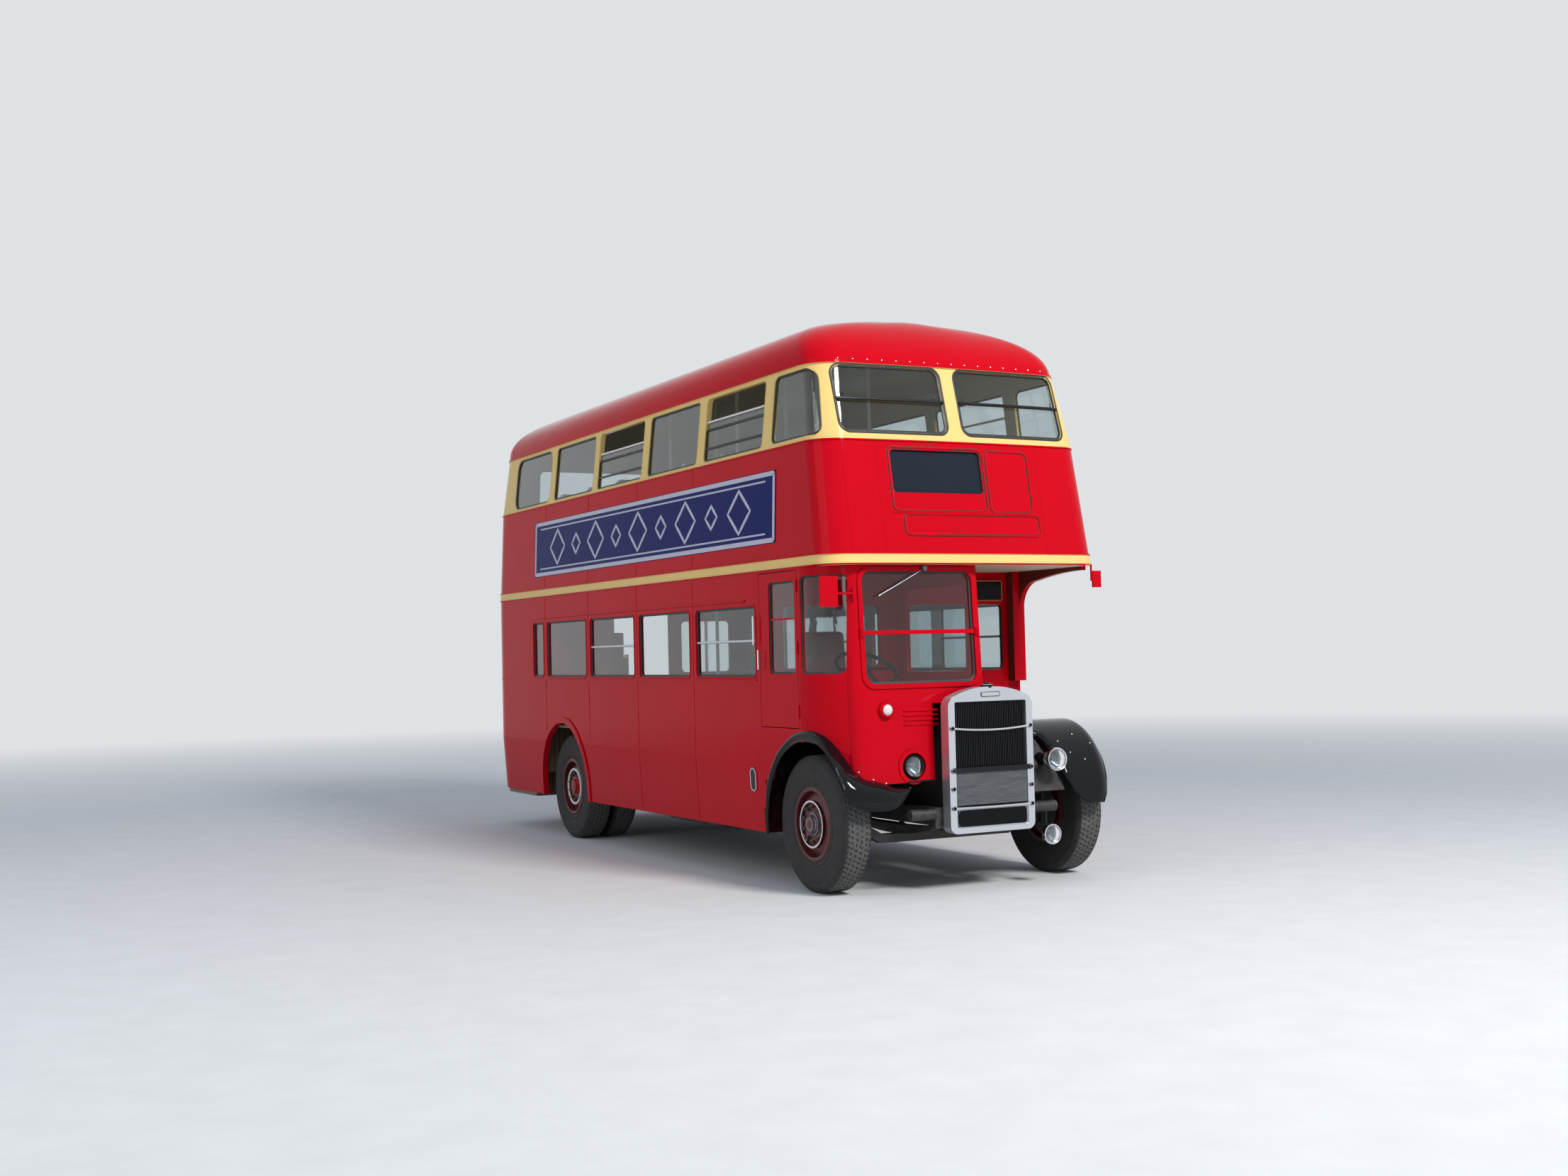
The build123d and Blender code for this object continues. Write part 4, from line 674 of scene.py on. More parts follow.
MATERIALS = {
    "body": paint("body_paint", RED, marks=(striped, blinds), ceiling=False),
    # The wall and cab paints carry painted shade in the front wheel's arch and on the bulkhead behind it.
    "walls": paint("wall_paint", RED, marks=(arch_painted_shade,), ceiling=False),
    "roof": paint("roof_paint", RED, ceiling=True),
    "cab": paint("cab_paint", RED, marks=(arch_painted_shade,)),
    "red": paint("red_paint", RED),
    "cream": paint("cream_paint", CREAM),
    "black": paint("black_gloss", BLACK, 0.03, 0.03, 0.7, (0.03, 0.028, 0.026), 0.24),
    "navy": paint("navy_enamel", (0.004, 0.011, 0.110), 0.12, 0.05, 0.0, (0.012, 0.020, 0.115), 0.04),
    "trim_black": plain("black_trim", (0.006, 0.006, 0.008), 0.32, Specular_IOR_Level=0.3),
    "gasket": plain("window_rubber", (0.010, 0.010, 0.011), 0.5),
    "chassis": grimy("chassis_black", (0.014, 0.014, 0.016)),
    "iron": grimy("oily_iron", (0.08, 0.075, 0.07), 0.5, 0.6),
    "aluminium": plain("satin_aluminium", (0.62, 0.64, 0.68), 0.34, 0.85, grain=12.0, depth=0.01, shift=0.06),
    "chrome": plain("chrome", (0.80, 0.80, 0.82), 0.12, 1.0, grain=40.0, depth=0.02, shift=0.05),
    "steel": plain("dark_steel", (0.20, 0.21, 0.23), 0.30, 0.9, grain=60.0, depth=0.05, shift=0.3),
    "slats": plain("grille_slats", (0.006, 0.006, 0.007), 0.35, grain=80.0),
    "cover": creased("grey_sheet", (0.075, 0.080, 0.088)),
    "glass": glass("clear_glass"),
    "boards": boards("slatted_floor", (0.20, 0.13, 0.08)),
    "moquette": moquette("seat_moquette"),
    "leather": plain("seat_leather", (0.10, 0.016, 0.014), 0.45, depth=0.2),
    "rail": plain("white_rail", (0.74, 0.72, 0.64), 0.3, depth=0.05, shift=0.1),
    "lining": plain("cream_lining", LINING, 0.55, depth=0.1, shift=0.12),
    "pale": plain("pale_enamel", (0.46, 0.46, 0.56), 0.35, depth=0.05, shift=0.08),
    "gold": plain("gold_line", (0.35, 0.20, 0.05), 0.35, 0.3, depth=0.05, shift=0.15),
    "blind": plain("blind_black", (0.004, 0.0045, 0.006), 0.22, depth=0.05, Specular_IOR_Level=0.12),
    "reflector": plain("lamp_reflector", (0.34, 0.35, 0.37), 0.14, 1.0, grain=30.0, depth=0.02, shift=0.2),
    "opal": plain("opal_lens", (0.70, 0.70, 0.66), 0.22, depth=0.05, shift=0.08),
    "ruby": plain("ruby_lens", (0.45, 0.004, 0.004), 0.15, depth=0.05, shift=0.1),
}

NODE_MATERIALS = {
    "body": "upper_side_offside upper_side_nearside upper_front_panel upper_rear_panel",
    "walls": "lower_side_offside lower_side_nearside lower_rear_panel bulkheads",
    "red": "cab_door bonnet mirrors staircase",
    "roof": "roof",
    "cab": "cab_front cab_side",
    "black": "wing_offside wing_nearside steering_wheel",
    "chassis": "chassis_frame front_axle_beam leaf_springs rear_axle fuel_tank battery_box track_rod"
    " cab_floor",
    "iron": "engine_block drive_line exhaust knuckle_offside knuckle_nearside",
    "aluminium": "radiator_shell",
    "slats": "radiator_grille",
    "cover": "radiator_cover",
    "glass": "upper_glass lower_glass cab_glass cab_door_glass",
    "boards": "lower_floor",
    "lining": "upper_floor",
    "moquette": "upper_seats lower_seats driver_seat",
    "rail": "handrails",
    "navy": "side_boards",
    "chrome": "lamps",
}


def hub(sign, rear):
    """The middle of a wheel, or of a pair of twin wheels."""
    return Vector((sign * (REAR_WHEEL_X if rear else FRONT_WHEEL_X), REAR_AXLE_Y if rear else AXLE_Y, HUB_Z))


def dress(node, material):
    """Gives a CAD node its material."""
    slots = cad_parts[node].data.materials
    slots.clear()
    slots.append(material)


def dress_nodes():
    """Gives every CAD node that shows its material."""
    for key, names in NODE_MATERIALS.items():
        for node in names.split():
            dress(node, MATERIALS[key])
    for side, sign in SIDES:
        dress("front_wheel_" + side, wheel_paint("front_wheel_paint_" + side, hub(sign, False)))
        dress("rear_wheels_" + side, wheel_paint("rear_wheel_paint_" + side, hub(sign, True)))


# Wheels. The tread has rows of slanted cuts, placed by lanes across it, and a notched shoulder.
RIM_R = 0.270
TYRE_WALL = (
    (0.105, RIM_R), (0.114, 0.300), (0.117, 0.306), (0.117, 0.314), (0.114, 0.318), (0.1195, 0.345),
    (0.1199, 0.380), (0.1199, 0.415), (0.1185, 0.440), (0.1165, 0.455), (0.118, 0.458), (0.116, 0.466),
    (0.110, 0.480), (0.104, 0.490),
)
LANE = 0.0066
CUT_ROWS = (-0.0594, -0.0198, 0.0198, 0.0594)
CUT_HALF, CUT_DEPTH, CUT_SLANT = 0.0052, 0.006, 0.014
CUTS_ROUND = 76

# Turned parts of a wheel, as (distance out, radius) from the wheel's face or the tyre's wall
GUARD_RING = (
    (0.010, 0.156), (0.020, 0.1585), (0.0235, 0.166), (0.0235, 0.172), (0.020, 0.1785), (0.010, 0.180),
    (-0.002, 0.180),
)
CAP_FOOT = ((-0.002, 0.084), (0.006, 0.084), (0.010, 0.072))
CAP_HEAD = (
    (-0.008, 0.0665), (-0.001, 0.062), (0.0004, 0.050), (0.0004, 0.034), (-0.004, 0.032), (-0.004, 0.0),
)
RIM_FLANGE = (
    (-0.004, 0.244), (0.008, 0.246), (0.012, 0.256), (0.010, 0.268), (0.004, 0.276), (-0.004, 0.274),
)
NUT_CIRCLE, NUT_R, NUT_HEIGHT = 0.130, 0.016, 0.020


def tread_radius(x, cuts):
    """The tread's radius at a distance across it and a number of cuts round it."""
    radius = TYRE_R - 0.010 * max(abs(x) / (TYRE_W / 2) - 0.25, 0.0) ** 2
    for index, middle in enumerate(CUT_ROWS):
        phase = (cuts + index * 0.5) % 1.0
        slant = middle + (phase - 0.5) * CUT_SLANT
        if 0.22 < phase < 0.80 and abs(x - slant) < CUT_HALF:
            radius -= CUT_DEPTH
    if abs(abs(x) - 13 * LANE) < 0.001 and cuts % 1.0 < 0.35:
        radius -= CUT_DEPTH
    return radius


def tyre_form(centre, steps):
    """A tyre with a cut tread, rings on its walls and a bead at the rim."""
    across = [LANE * k for k in range(-14, 15)]
    rings = []
    for k in range(steps):
        turn = 2 * math.pi * k / steps
        cuts = turn * CUTS_ROUND / (2 * math.pi)
        ring = [(-a, r) for a, r in TYRE_WALL]
        ring += [(x, tread_radius(x, cuts)) for x in across]
        ring += reversed(TYRE_WALL)
        out = Vector((0, math.cos(turn), math.sin(turn)))
        rings.append([centre + Vector((a, 0, 0)) + out * r for a, r in ring])
    return grid(rings, close_along=True)


def add_tyres():
    """The treaded tyres in place of the plain ones."""
    steps = 456
    for side, sign in SIDES:
        for axle, rear, plural in (("front", False, ""), ("rear", True, "s")):
            centre = hub(sign, rear)
            offsets = (-TWIN_OFFSET, TWIN_OFFSET) if rear else (0.0,)
            form = joined(*[tyre_form(centre + Vector((dx, 0, 0)), steps) for dx in offsets])
            name = f"{axle}_tyre{plural}_{side}"
            body = f"{axle}_wheel{plural}_{side}"
            piece("treaded_" + name, form, rubber(f"{axle}_rubber_{side}", centre), body, stands_for=(name,))


def nut(centre, sign):
    """A six-sided wheel nut on its stud."""
    rings = []
    for level, share in ((0.0, 1.0), (0.8, 1.0), (1.0, 0.8), (1.0, 0.5), (1.6, 0.45)):
        foot = centre + Vector((sign * NUT_HEIGHT * level, 0, 0))
        rings.append([foot + out * NUT_R * share for out in spokes(Vector((1, 0, 0)), 6, BACK)])
    return grid(rings, close_across=True, caps=True)


def add_wheel_details():
    """Guard rings, nuts, hub caps and rim flanges."""
    for side, sign in SIDES:
        axis = Vector((sign, 0, 0))
        for rear in (False, True):
            centre = hub(sign, rear)
            body = ("rear_wheels_" if rear else "front_wheel_") + side
            label = ("rear_" if rear else "front_") + side
            face_x, cap_x = (0.212, 0.241) if rear else (0.100, 0.136)
            ring = lathe(shifted(GUARD_RING, face_x), centre, axis, 64)
            piece("guard_ring_" + label, ring, "rail" if rear else "chrome", body)
            nuts = []
            for k in range(10):
                turn = 2 * math.pi * (k + 0.5) / 10
                round_hub = Vector((0, math.cos(turn), math.sin(turn))) * NUT_CIRCLE
                nuts.append(nut(centre + axis * (face_x + 0.001) + round_hub, sign))
            piece("wheel_nuts_" + label, nuts, "iron", body, smooth=False)
            cap = lathe(shifted(CAP_FOOT, face_x) + shifted(CAP_HEAD, cap_x), centre, axis, 48)
            piece("hub_cap_" + label, cap, "red" if rear else "steel", body)
            wall_x = (TWIN_OFFSET if rear else 0.0) + TYRE_WALL[0][0]
            flange = lathe(shifted(RIM_FLANGE, wall_x), centre, axis, 72)
            piece("rim_flange_" + label, flange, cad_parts[body].data.materials[0], body)


# The roof's dome: its gutter and top, half width, front and rear at the gutter and the limits
# of their retreat, thickness, and how much of a full arch its levels take
DOME_Z = (3.930, 4.356)
DOME_HALF = 1.120
DOME_FRONT = (-0.200, 0.400)
DOME_REAR = (7.118, 5.200)
DOME_WALL = 0.045
DOME_SHARE = 0.95


def arch(share, power):
    """How far a rounded arch still reaches out at a share of its height."""
    return (1 - share**power) ** (1 / power)


def dome_ring(share, inset=0.0):
    """The dome's plan outline at a share of its height, clockwise from above."""
    reach = arch(share, 2.6)
    half = DOME_HALF * reach - inset
    front = DOME_FRONT[1] + (DOME_FRONT[0] - DOME_FRONT[1]) * arch(share, 1.5) + inset
    rear = DOME_REAR[1] + (DOME_REAR[0] - DOME_REAR[1]) * reach - inset
    front_r = min(0.230 + 0.200 * (1 - reach), DOME_HALF * reach * 0.6) - inset
    rear_r = min(0.500, DOME_HALF * reach * 0.7) - inset
    bow = 0.030 + 0.030 * (1 - reach)
    straight, corner_y = half - front_r, front + bow + front_r
    points = arc(rear_r - half, rear - rear_r, rear_r, 180, 90)
    points += arc(half - rear_r, rear - rear_r, rear_r, 90, 0)
    points += arc(straight, corner_y, front_r, 0, -90)
    points += [(straight * (1 - k / 5), front + bow * (1 - k / 5) ** 2) for k in range(1, 10)]
    points += arc(-straight, corner_y, front_r, -90, -180)
    z = DOME_Z[0] + (DOME_Z[1] - DOME_Z[0]) * share / DOME_SHARE - inset * share
    return [row(x, y, z) for x, y in points]


def add_roof():
    """The domed roof as a smooth shell with its ceiling below."""
    shares = [DOME_SHARE * math.sin(math.pi / 2 * k / 16) for k in range(17)]
    outside = [dome_ring(share) for share in shares]
    inside = [dome_ring(share, DOME_WALL) for share in shares]
    shell = joined(
        grid(outside[::-1], close_across=True), face(outside[-1][::-1]),
        grid([outside[0], inside[0]], close_across=True),
        grid(inside, close_across=True), face(inside[-1]),
    )
    piece("roof_dome", shell, "roof", stands_for=("roof",), split=24.0)


# Windows, and the corners of the upper deck between the front and the foremost side window: how
# far the front leans back with height, the level its sizes are given at, half width there and
# its fall with height, front, corner radius and bow, and that window's edge at the front sill
DECK_RAKE = 0.27
CORNER_Z = 3.330
CORNER_HALF, CORNER_FALL = 1.185, 0.065 / 0.600
CORNER_Y, CORNER_R, CORNER_BOW = -0.362, 0.230, 0.030
CORNER_EDGE = -0.245
EDGE_HEAD_R, EDGE_FOOT_R = 0.100, 0.060


def round_in(depth, radius):
    """How far a round corner comes in at a depth into it."""
    depth = min(max(depth, 0.0), radius)
    return radius - math.sqrt(radius**2 - depth**2)


def corner_edge(z, grow=0.0):
    """Where the foremost side window's front edge is at a height: it leans with the front."""
    head = round_in(z - UPPER_WINDOWS[0][3] - grow + EDGE_HEAD_R, EDGE_HEAD_R)
    foot = round_in(UPPER_WINDOWS[0][2] - grow + EDGE_FOOT_R - z, EDGE_FOOT_R)
    return CORNER_EDGE - grow + DECK_RAKE * (z - FRONT_SILL) + head + foot


def corner_outline(grow, pitch):
    """Points round the foremost side window, in order."""
    low, high = UPPER_WINDOWS[0][2] - grow, UPPER_WINDOWS[0][3] + grow
    points = [p for p in rounded(*UPPER_WINDOWS[0], grow=grow, pitch=pitch) if p[0] > 0.0]
    for k in range(17):
        z = high - (high - low) * k / 16
        points.append((corner_edge(z, grow), z))
    middle_y, middle_z = 0.150, (low + high) / 2
    return sorted(points, key=lambda p: math.atan2(p[1] - middle_z, p[0] - middle_y))


def add_corner_pillars():
    """The cream pillars round the front corners, between the front and the side windows."""
    low = CORNER_Z + 0.022
    edges = (-FRONT_UPPER_WINDOWS[0][0], FRONT_UPPER_WINDOWS[1][1])
    for (side, sign), edge in zip(SIDES, edges):
        levels = []
        for k in range(23):
            z = low + (FRONT_HEAD - low) * k / 22
            centre_x = CORNER_HALF - CORNER_FALL * (z - CORNER_Z) - CORNER_R
            centre_y = CORNER_Y + DECK_RAKE * (z - CORNER_Z) + CORNER_R + CORNER_BOW
            into = FRONT_WINDOW_R - min(z - FRONT_SILL, FRONT_HEAD - z)
            start = math.asin((edge - round_in(into, FRONT_WINDOW_R) - centre_x) / CORNER_R)
            end = math.acos((centre_y - corner_edge(z)) / CORNER_R)
            around = [start + (end - start) * i / 8 for i in range(9)]
            ring = [(a, CORNER_R + 0.0015) for a in around] + [(a, CORNER_R - 0.030) for a in around[::-1]]
            levels.append([
                row(sign * (centre_x + r * math.sin(a)), centre_y - r * math.cos(a), z) for a, r in ring
            ])
        form = grid(levels if sign > 0 else levels[::-1], close_across=True, caps=True)
        piece("corner_pillar_" + side, form, "cream")


def side_seal(skin, window, sign, grow, section, pitch=0.12):
    """A strip round a side window's opening."""
    if window is UPPER_WINDOWS[0]:
        outline = corner_outline(grow, pitch)
    else:
        outline = rounded(*window, grow=grow, pitch=pitch)
    return strip(skin.run(outline, sign), section)


def end_seal(skin, window, grow, section, rear=False):
    """A strip round an opening in the front or the rear."""
    points = rounded(*window, grow=grow)
    return strip(skin.rear(points) if rear else skin.front(points), section)


def add_window_seals():
    """Rubber on the panes and a thin moulding round each opening."""
    panes = Skin("upper_glass", "lower_glass")
    cab_panes = Skin("cab_glass")
    walls = Skin(
        *[bpy.data.objects["corner_pillar_" + side] for side, _ in SIDES],
        "upper_side_offside", "upper_side_nearside", "upper_front_panel", "upper_rear_panel",
        "lower_side_offside", "lower_side_nearside", "lower_rear_panel", "bulkheads", "cab_side", "cab_front",
    )
    bead = half_round(0.016, 0.006)
    seals, mouldings = [], []
    for _, sign in SIDES:
        for window in UPPER_WINDOWS:
            seals.append(side_seal(panes, window, sign, -0.007, RUBBER_SECTION))
            mouldings.append(side_seal(walls, window, sign, 0.008, half_round(0.010, 0.004)))
        for window in LOWER_WINDOWS[:5 if sign < 0 else 4]:
            seals.append(side_seal(panes, window, sign, -0.007, RUBBER_SECTION))
            mouldings.append(side_seal(walls, window, sign, 0.010, bead))
    for window in FRONT_UPPER_WINDOWS:
        seals.append(end_seal(panes, window, -0.006, RUBBER_SECTION))
        seals.append(end_seal(walls, window, 0.008, bead))
    for window in (REAR_UPPER_WINDOW, REAR_LOWER_WINDOW):
        seals.append(end_seal(panes, window, -0.006, RUBBER_SECTION, rear=True))
        mouldings.append(end_seal(walls, window, 0.010, bead, rear=True))
    seals.append(side_seal(cab_panes, CAB_SIDE_WINDOW, -1, -0.007, RUBBER_SECTION, 0.06))
    seals.append(end_seal(cab_panes, WINDSCREEN, -0.007, RUBBER_SECTION))
    piece("window_rubbers", seals, "gasket")
    piece("window_mouldings", mouldings, "body")
    door = side_seal(Skin("cab_door_glass"), DOOR_WINDOW, -1, -0.007, RUBBER_SECTION)
    piece("door_rubber", door, "gasket", "cab_door")


DROPPED_TOP_Z, DROPPED_RAIL_Z = 3.468, 3.690
SLIDING_RAIL_Z = 1.872
FRONT_RAIL_Z = 3.641


def add_window_bars():
    """The rails of the dropped, the sliding and the front panes, and the front panes' catches."""
    upper = Skin("upper_side_offside", "upper_side_nearside")
    lower = Skin("lower_side_offside", "lower_side_nearside")
    front_wall = Skin("upper_front_panel")
    dark, bright = [], []

    def rail(skin, window, z, sign, section):
        points = line((window[0] + 0.004, z), (window[1] - 0.004, z), 0.2)
        return strip(skin.side(points, sign), section, closed=False)

    for _, sign in SIDES:
        for index in DROPPED_WINDOWS:
            dark.append(rail(upper, UPPER_WINDOWS[index], DROPPED_TOP_Z, sign, flat_bar(0.016, 0.004)))
            bright.append(rail(upper, UPPER_WINDOWS[index], DROPPED_RAIL_Z, sign, flat_bar(0.016, 0.004)))
        for index in SLIDING_WINDOWS:
            bright.append(rail(lower, LOWER_WINDOWS[index], SLIDING_RAIL_Z, sign, half_round(0.020, 0.008)))
    for left, right, *_ in FRONT_UPPER_WINDOWS:
        places = front_wall.front(line((left, FRONT_RAIL_Z), (right, FRONT_RAIL_Z)))
        dark.append(tube([point + AHEAD * 0.004 for point, normal in places], 0.013, 10))
        for x in (left + 0.06, right - 0.06):
            catch = front_wall.front([(x, FRONT_RAIL_Z)])[0][0]
            dark.append(tube([catch, catch + Vector((0, 0.01, 0.045))], 0.006, 8))
    piece("window_rails_dark", dark, "trim_black")
    piece("window_rails_bright", bright, "aluminium")


# Panels. Joints across the sides and the heights that their cover strips run between, the heights
# of the rain strip and the low seam, and rivet rows as a height and both ends
JOINTS_Y = (1.860, 3.055, 4.240, 5.420)
JOINT_RUNS = ((1.60, 2.39), (2.50, 2.60), (3.175, 3.315))
LOWER_REAR = 5.80
RAIN_Z, SEAM_Z = 2.185, 1.000
RIVET_ROWS = (
    (1.590, 0.70, LOWER_REAR), (2.502, 0.0, 6.6), (3.310, 0.0, 6.6), (2.386, 0.70, LOWER_REAR),
)


def add_side_trim():
    """Cover strips over the panel joints, the rain strips, and rivets along the belts."""
    skin = Skin("lower_side_offside", "lower_side_nearside", "upper_side_offside", "upper_side_nearside")
    thin, studs = [], []

    def cover(sign, start, end, pitch, section):
        thin.append(strip(skin.run(line(start, end, pitch), sign), section, closed=False))

    for _, sign in SIDES:
        for y in JOINTS_Y:
            low = 1.02 if 4.2 < y < 5.6 else 0.42
            for start, end in ((low, 1.555), *JOINT_RUNS):
                cover(sign, (y, start), (y, end), 0.08, half_round(0.014, 0.0035))
        cover(sign, (0.68, RAIN_Z), (LOWER_REAR, RAIN_Z), 0.2, half_round(0.018, 0.010))
        cover(sign, (0.70, SEAM_Z), (JOINTS_Y[0], SEAM_Z), 0.1, half_round(0.010, 0.003))
        for z, start, end in RIVET_ROWS:
            studs.append(rivets(skin.side(line((start, z), (end, z), 0.147), sign), 0.0045))
    piece("joint_strips", thin, "red")
    piece("belt_rivets", studs, "red")


FRONT_SEAMS_X = (-0.735, 0.700, -1.010, 1.010)
FRONT_SEAM_Z = (2.50, 3.315)
FRONT_BAR_Z = 2.784


def add_front_trim():
    """Box outlines, seams with rivets, and the roof's front rivets."""
    skin = Skin("upper_front_panel")
    dark, seams, studs = [], [], []
    for box in FRONT_BOXES:
        for grow in (0.014, -0.004):
            dark.append(end_seal(skin, box, grow, half_round(0.006, 0.002)))
    for x in FRONT_SEAMS_X:
        seam = skin.front(line((x, FRONT_SEAM_Z[0]), (x, FRONT_SEAM_Z[1]), 0.1))
        seams.append(strip(seam, half_round(0.012, 0.003), closed=False))
        studs.append(rivets(skin.front(line((x + 0.016, 2.52), (x + 0.016, 3.30), 0.11)), 0.005))
    bar = skin.front(line((-0.640, FRONT_BAR_Z), (0.640, FRONT_BAR_Z), 0.1))
    seams.append(strip(bar, half_round(0.016, 0.006), closed=False))
    for z in (2.505, 3.308):
        studs.append(rivets(skin.front(line((-0.95, z), (0.95, z), 0.135)), 0.005))
    piece("box_outlines", dark, "gasket")
    piece("front_seams", seams, "red")
    piece("front_rivets", studs, "red")
    roof = Skin(bpy.data.objects["roof_dome"])
    piece("roof_rivets", rivets(roof.front(line((-0.92, 3.952), (0.92, 3.952), 0.125)), 0.006), "chrome")


def add_side_boards():
    """The boards' pale borders and a plain row of pale diamonds and bars, with no words."""
    skin = Skin("side_boards")
    front, rear, low, high = SIDE_BOARD
    middle = (low + high) / 2
    marks = []

    def lay(sign, points, width, closed=True):
        marks.append(strip(skin.run(points, sign), flat_bar(width, 0.0012), closed))

    for _, sign in SIDES:
        lay(sign, rounded(front, rear, low, high, 0.002, -0.022, 1, 0.3), 0.036)
        for k in range(9):
            y = front + 0.62 + k * 0.51
            wide, tall = (0.20, 0.17) if k % 2 == 0 else (0.11, 0.095)
            corners = [(y - wide, middle), (y, middle + tall), (y + wide, middle), (y, middle - tall)]
            sides = [line(a, b, 0.06)[:-1] for a, b in zip(corners, corners[1:] + corners[:1])]
            lay(sign, [point for side in sides for point in side], 0.030)
        for z in (low + 0.075, high - 0.075):
            lay(sign, line((front + 0.16, z), (rear - 0.16, z), 0.3), 0.014, False)
    piece("board_pattern", marks, "pale", smooth=False)


# Front end. Each large lamp's place, radius, depth and the finish of its bowl, the turned parts
# of such a lamp as shares of its depth and radius, and those of the side and tail lamps
LAMPS = (
    ((-0.560, -0.410, 0.925), 0.082, 0.100, "trim_black"),
    ((0.620, -0.520, 0.925), 0.088, 0.130, "chrome"),
    ((0.555, -0.560, 0.370), 0.076, 0.095, "chrome"),
)
LAMP_BOWL = (
    (0.0, 0.35), (0.12, 0.62), (0.45, 0.9), (0.78, 0.97), (0.80, 1.0), (0.96, 1.0), (1.0, 0.96), (0.97, 0.88),
    (0.86, 0.86),
)
LAMP_DISH = ((0.86, 0.86), (0.62, 0.66), (0.42, 0.38), (0.36, 0.12), (0.36, 0.0))
LAMP_BULB = ((0.36, 0.09), (0.62, 0.10), (0.70, 0.0))
LAMP_FACE = ((0.88, 0.88), (0.955, 0.6), (0.985, 0.3), (0.995, 0.0))
LAMP_NECK = ((-0.11, 0.045), (-0.06, 0.040), (0.0, 0.034))
SIDE_LAMP = (-0.780, -0.4974, 1.343)
SIDE_LAMP_RIM = (
    (-0.010, 0.062), (0.010, 0.062), (0.022, 0.057), (0.028, 0.048), (0.026, 0.042), (0.018, 0.041),
)
SIDE_LAMP_LENS = ((0.018, 0.042), (0.030, 0.035), (0.038, 0.020), (0.040, 0.0))
TAIL_LAMP_BODY = ((-0.018, 0.040), (-0.022, 0.044), (-0.10, 0.044))
TAIL_LAMP_LENS = ((0.0, 0.0), (-0.004, 0.024), (-0.012, 0.034), (-0.022, 0.036))


def add_lamps():
    """Each lamp's bowl, rim, bright reflector and clear lens, and the side and tail lamps."""
    bowls = {"trim_black": [], "chrome": []}
    reflectors, lenses, ribs = [], [], []
    for place, radius, depth, shade in LAMPS:
        centre = row(*place)
        bowls[shade].append(lathe(scaled(LAMP_BOWL, depth, radius), centre, AHEAD))
        reflectors.append(lathe(scaled(LAMP_DISH, depth, radius), centre, AHEAD))
        reflectors.append(lathe(scaled(LAMP_BULB, depth, radius), centre, AHEAD, 16))
        lenses.append(lathe(scaled(LAMP_FACE, depth, radius), centre, AHEAD))
        for k in range(-3, 4):
            across = radius * 0.2 * k
            tall = math.sqrt((radius * 0.86) ** 2 - across * across)
            ends = [centre + Vector((across, -depth * 0.90, z)) for z in (-tall, tall)]
            ribs.append(tube(ends, radius * 0.035, 6))
    stalk = tube([row(0.555, -0.565, 0.43), row(0.555, -0.56, 0.56)], 0.012)
    neck = lathe(LAMP_NECK, row(*LAMPS[1][0]), AHEAD, 24)
    tail = Vector((-0.930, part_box("lamps")[1].y, 0.980))
    tail_body = lathe(TAIL_LAMP_BODY, tail, BACK)
    piece("lamp_bowls_black", joined(*bowls["trim_black"], neck, stalk, tail_body), "trim_black")
    piece("lamp_bowls_chrome", joined(*bowls["chrome"]), "chrome", stands_for=("lamps",))
    piece("side_lamp_housing", lathe(SIDE_LAMP_RIM, row(*SIDE_LAMP), AHEAD), "red")
    piece("side_lamp_lens", lathe(SIDE_LAMP_LENS, row(*SIDE_LAMP), AHEAD), "opal")
    piece("lamp_reflectors", reflectors, "reflector")
    piece("lamp_lenses", lenses, "glass")
    piece("lamp_lens_ribs", ribs, "glass")
    piece("tail_lens", lathe(TAIL_LAMP_LENS, tail, BACK), "ruby")


# The nearside wing: how far its ellipse reaches behind, above and ahead of the arch's centre,
# and its sections round the wheel as the angle from the rear, the outer face, the shoulder's
# radius and the inner edge
WING_REACH = (0.618, 0.715, 0.620)
WING_FOOT, WING_END = -9.0, 171.0
WING_SECTIONS = (
    (-9.0, 1.219, 0.025, 0.560), (30.0, 1.219, 0.030, 0.560), (46.0, 1.219, 0.040, 0.400),
    (60.0, 1.219, 0.050, 0.400), (85.0, 1.219, 0.080, 0.400), (106.0, 1.219, 0.105, 0.410),
    (116.0, 1.217, 0.120, 0.660), (132.0, 1.212, 0.140, 0.705), (150.0, 1.200, 0.150, 0.738),
    (160.0, 1.184, 0.150, 0.790), (166.0, 1.170, 0.150, 0.850), (171.0, 1.145, 0.150, 0.910),
)
WING_T = 0.012
WING_STUDS = ((0.80, 1.045), (0.86, 0.960), (0.98, 1.090), (0.97, 0.905), (1.09, 1.02), (0.66, 1.185))


def wing_at(angle):
    """The wing's reach, outer face, shoulder radius and inner edge at an angle."""
    behind, top, ahead = WING_REACH
    turn = math.radians(angle)
    across = behind if angle < 90 else ahead
    reach = 1 / math.sqrt((math.cos(turn) / across) ** 2 + (math.sin(turn) / top) ** 2)
    for first, last in zip(WING_SECTIONS, WING_SECTIONS[1:]):
        if angle <= last[0]:
            share = (angle - first[0]) / (last[0] - first[0])
            return [reach] + [a + (b - a) * share for a, b in zip(first[1:], last[1:])]
    return [reach, *WING_SECTIONS[-1][1:]]


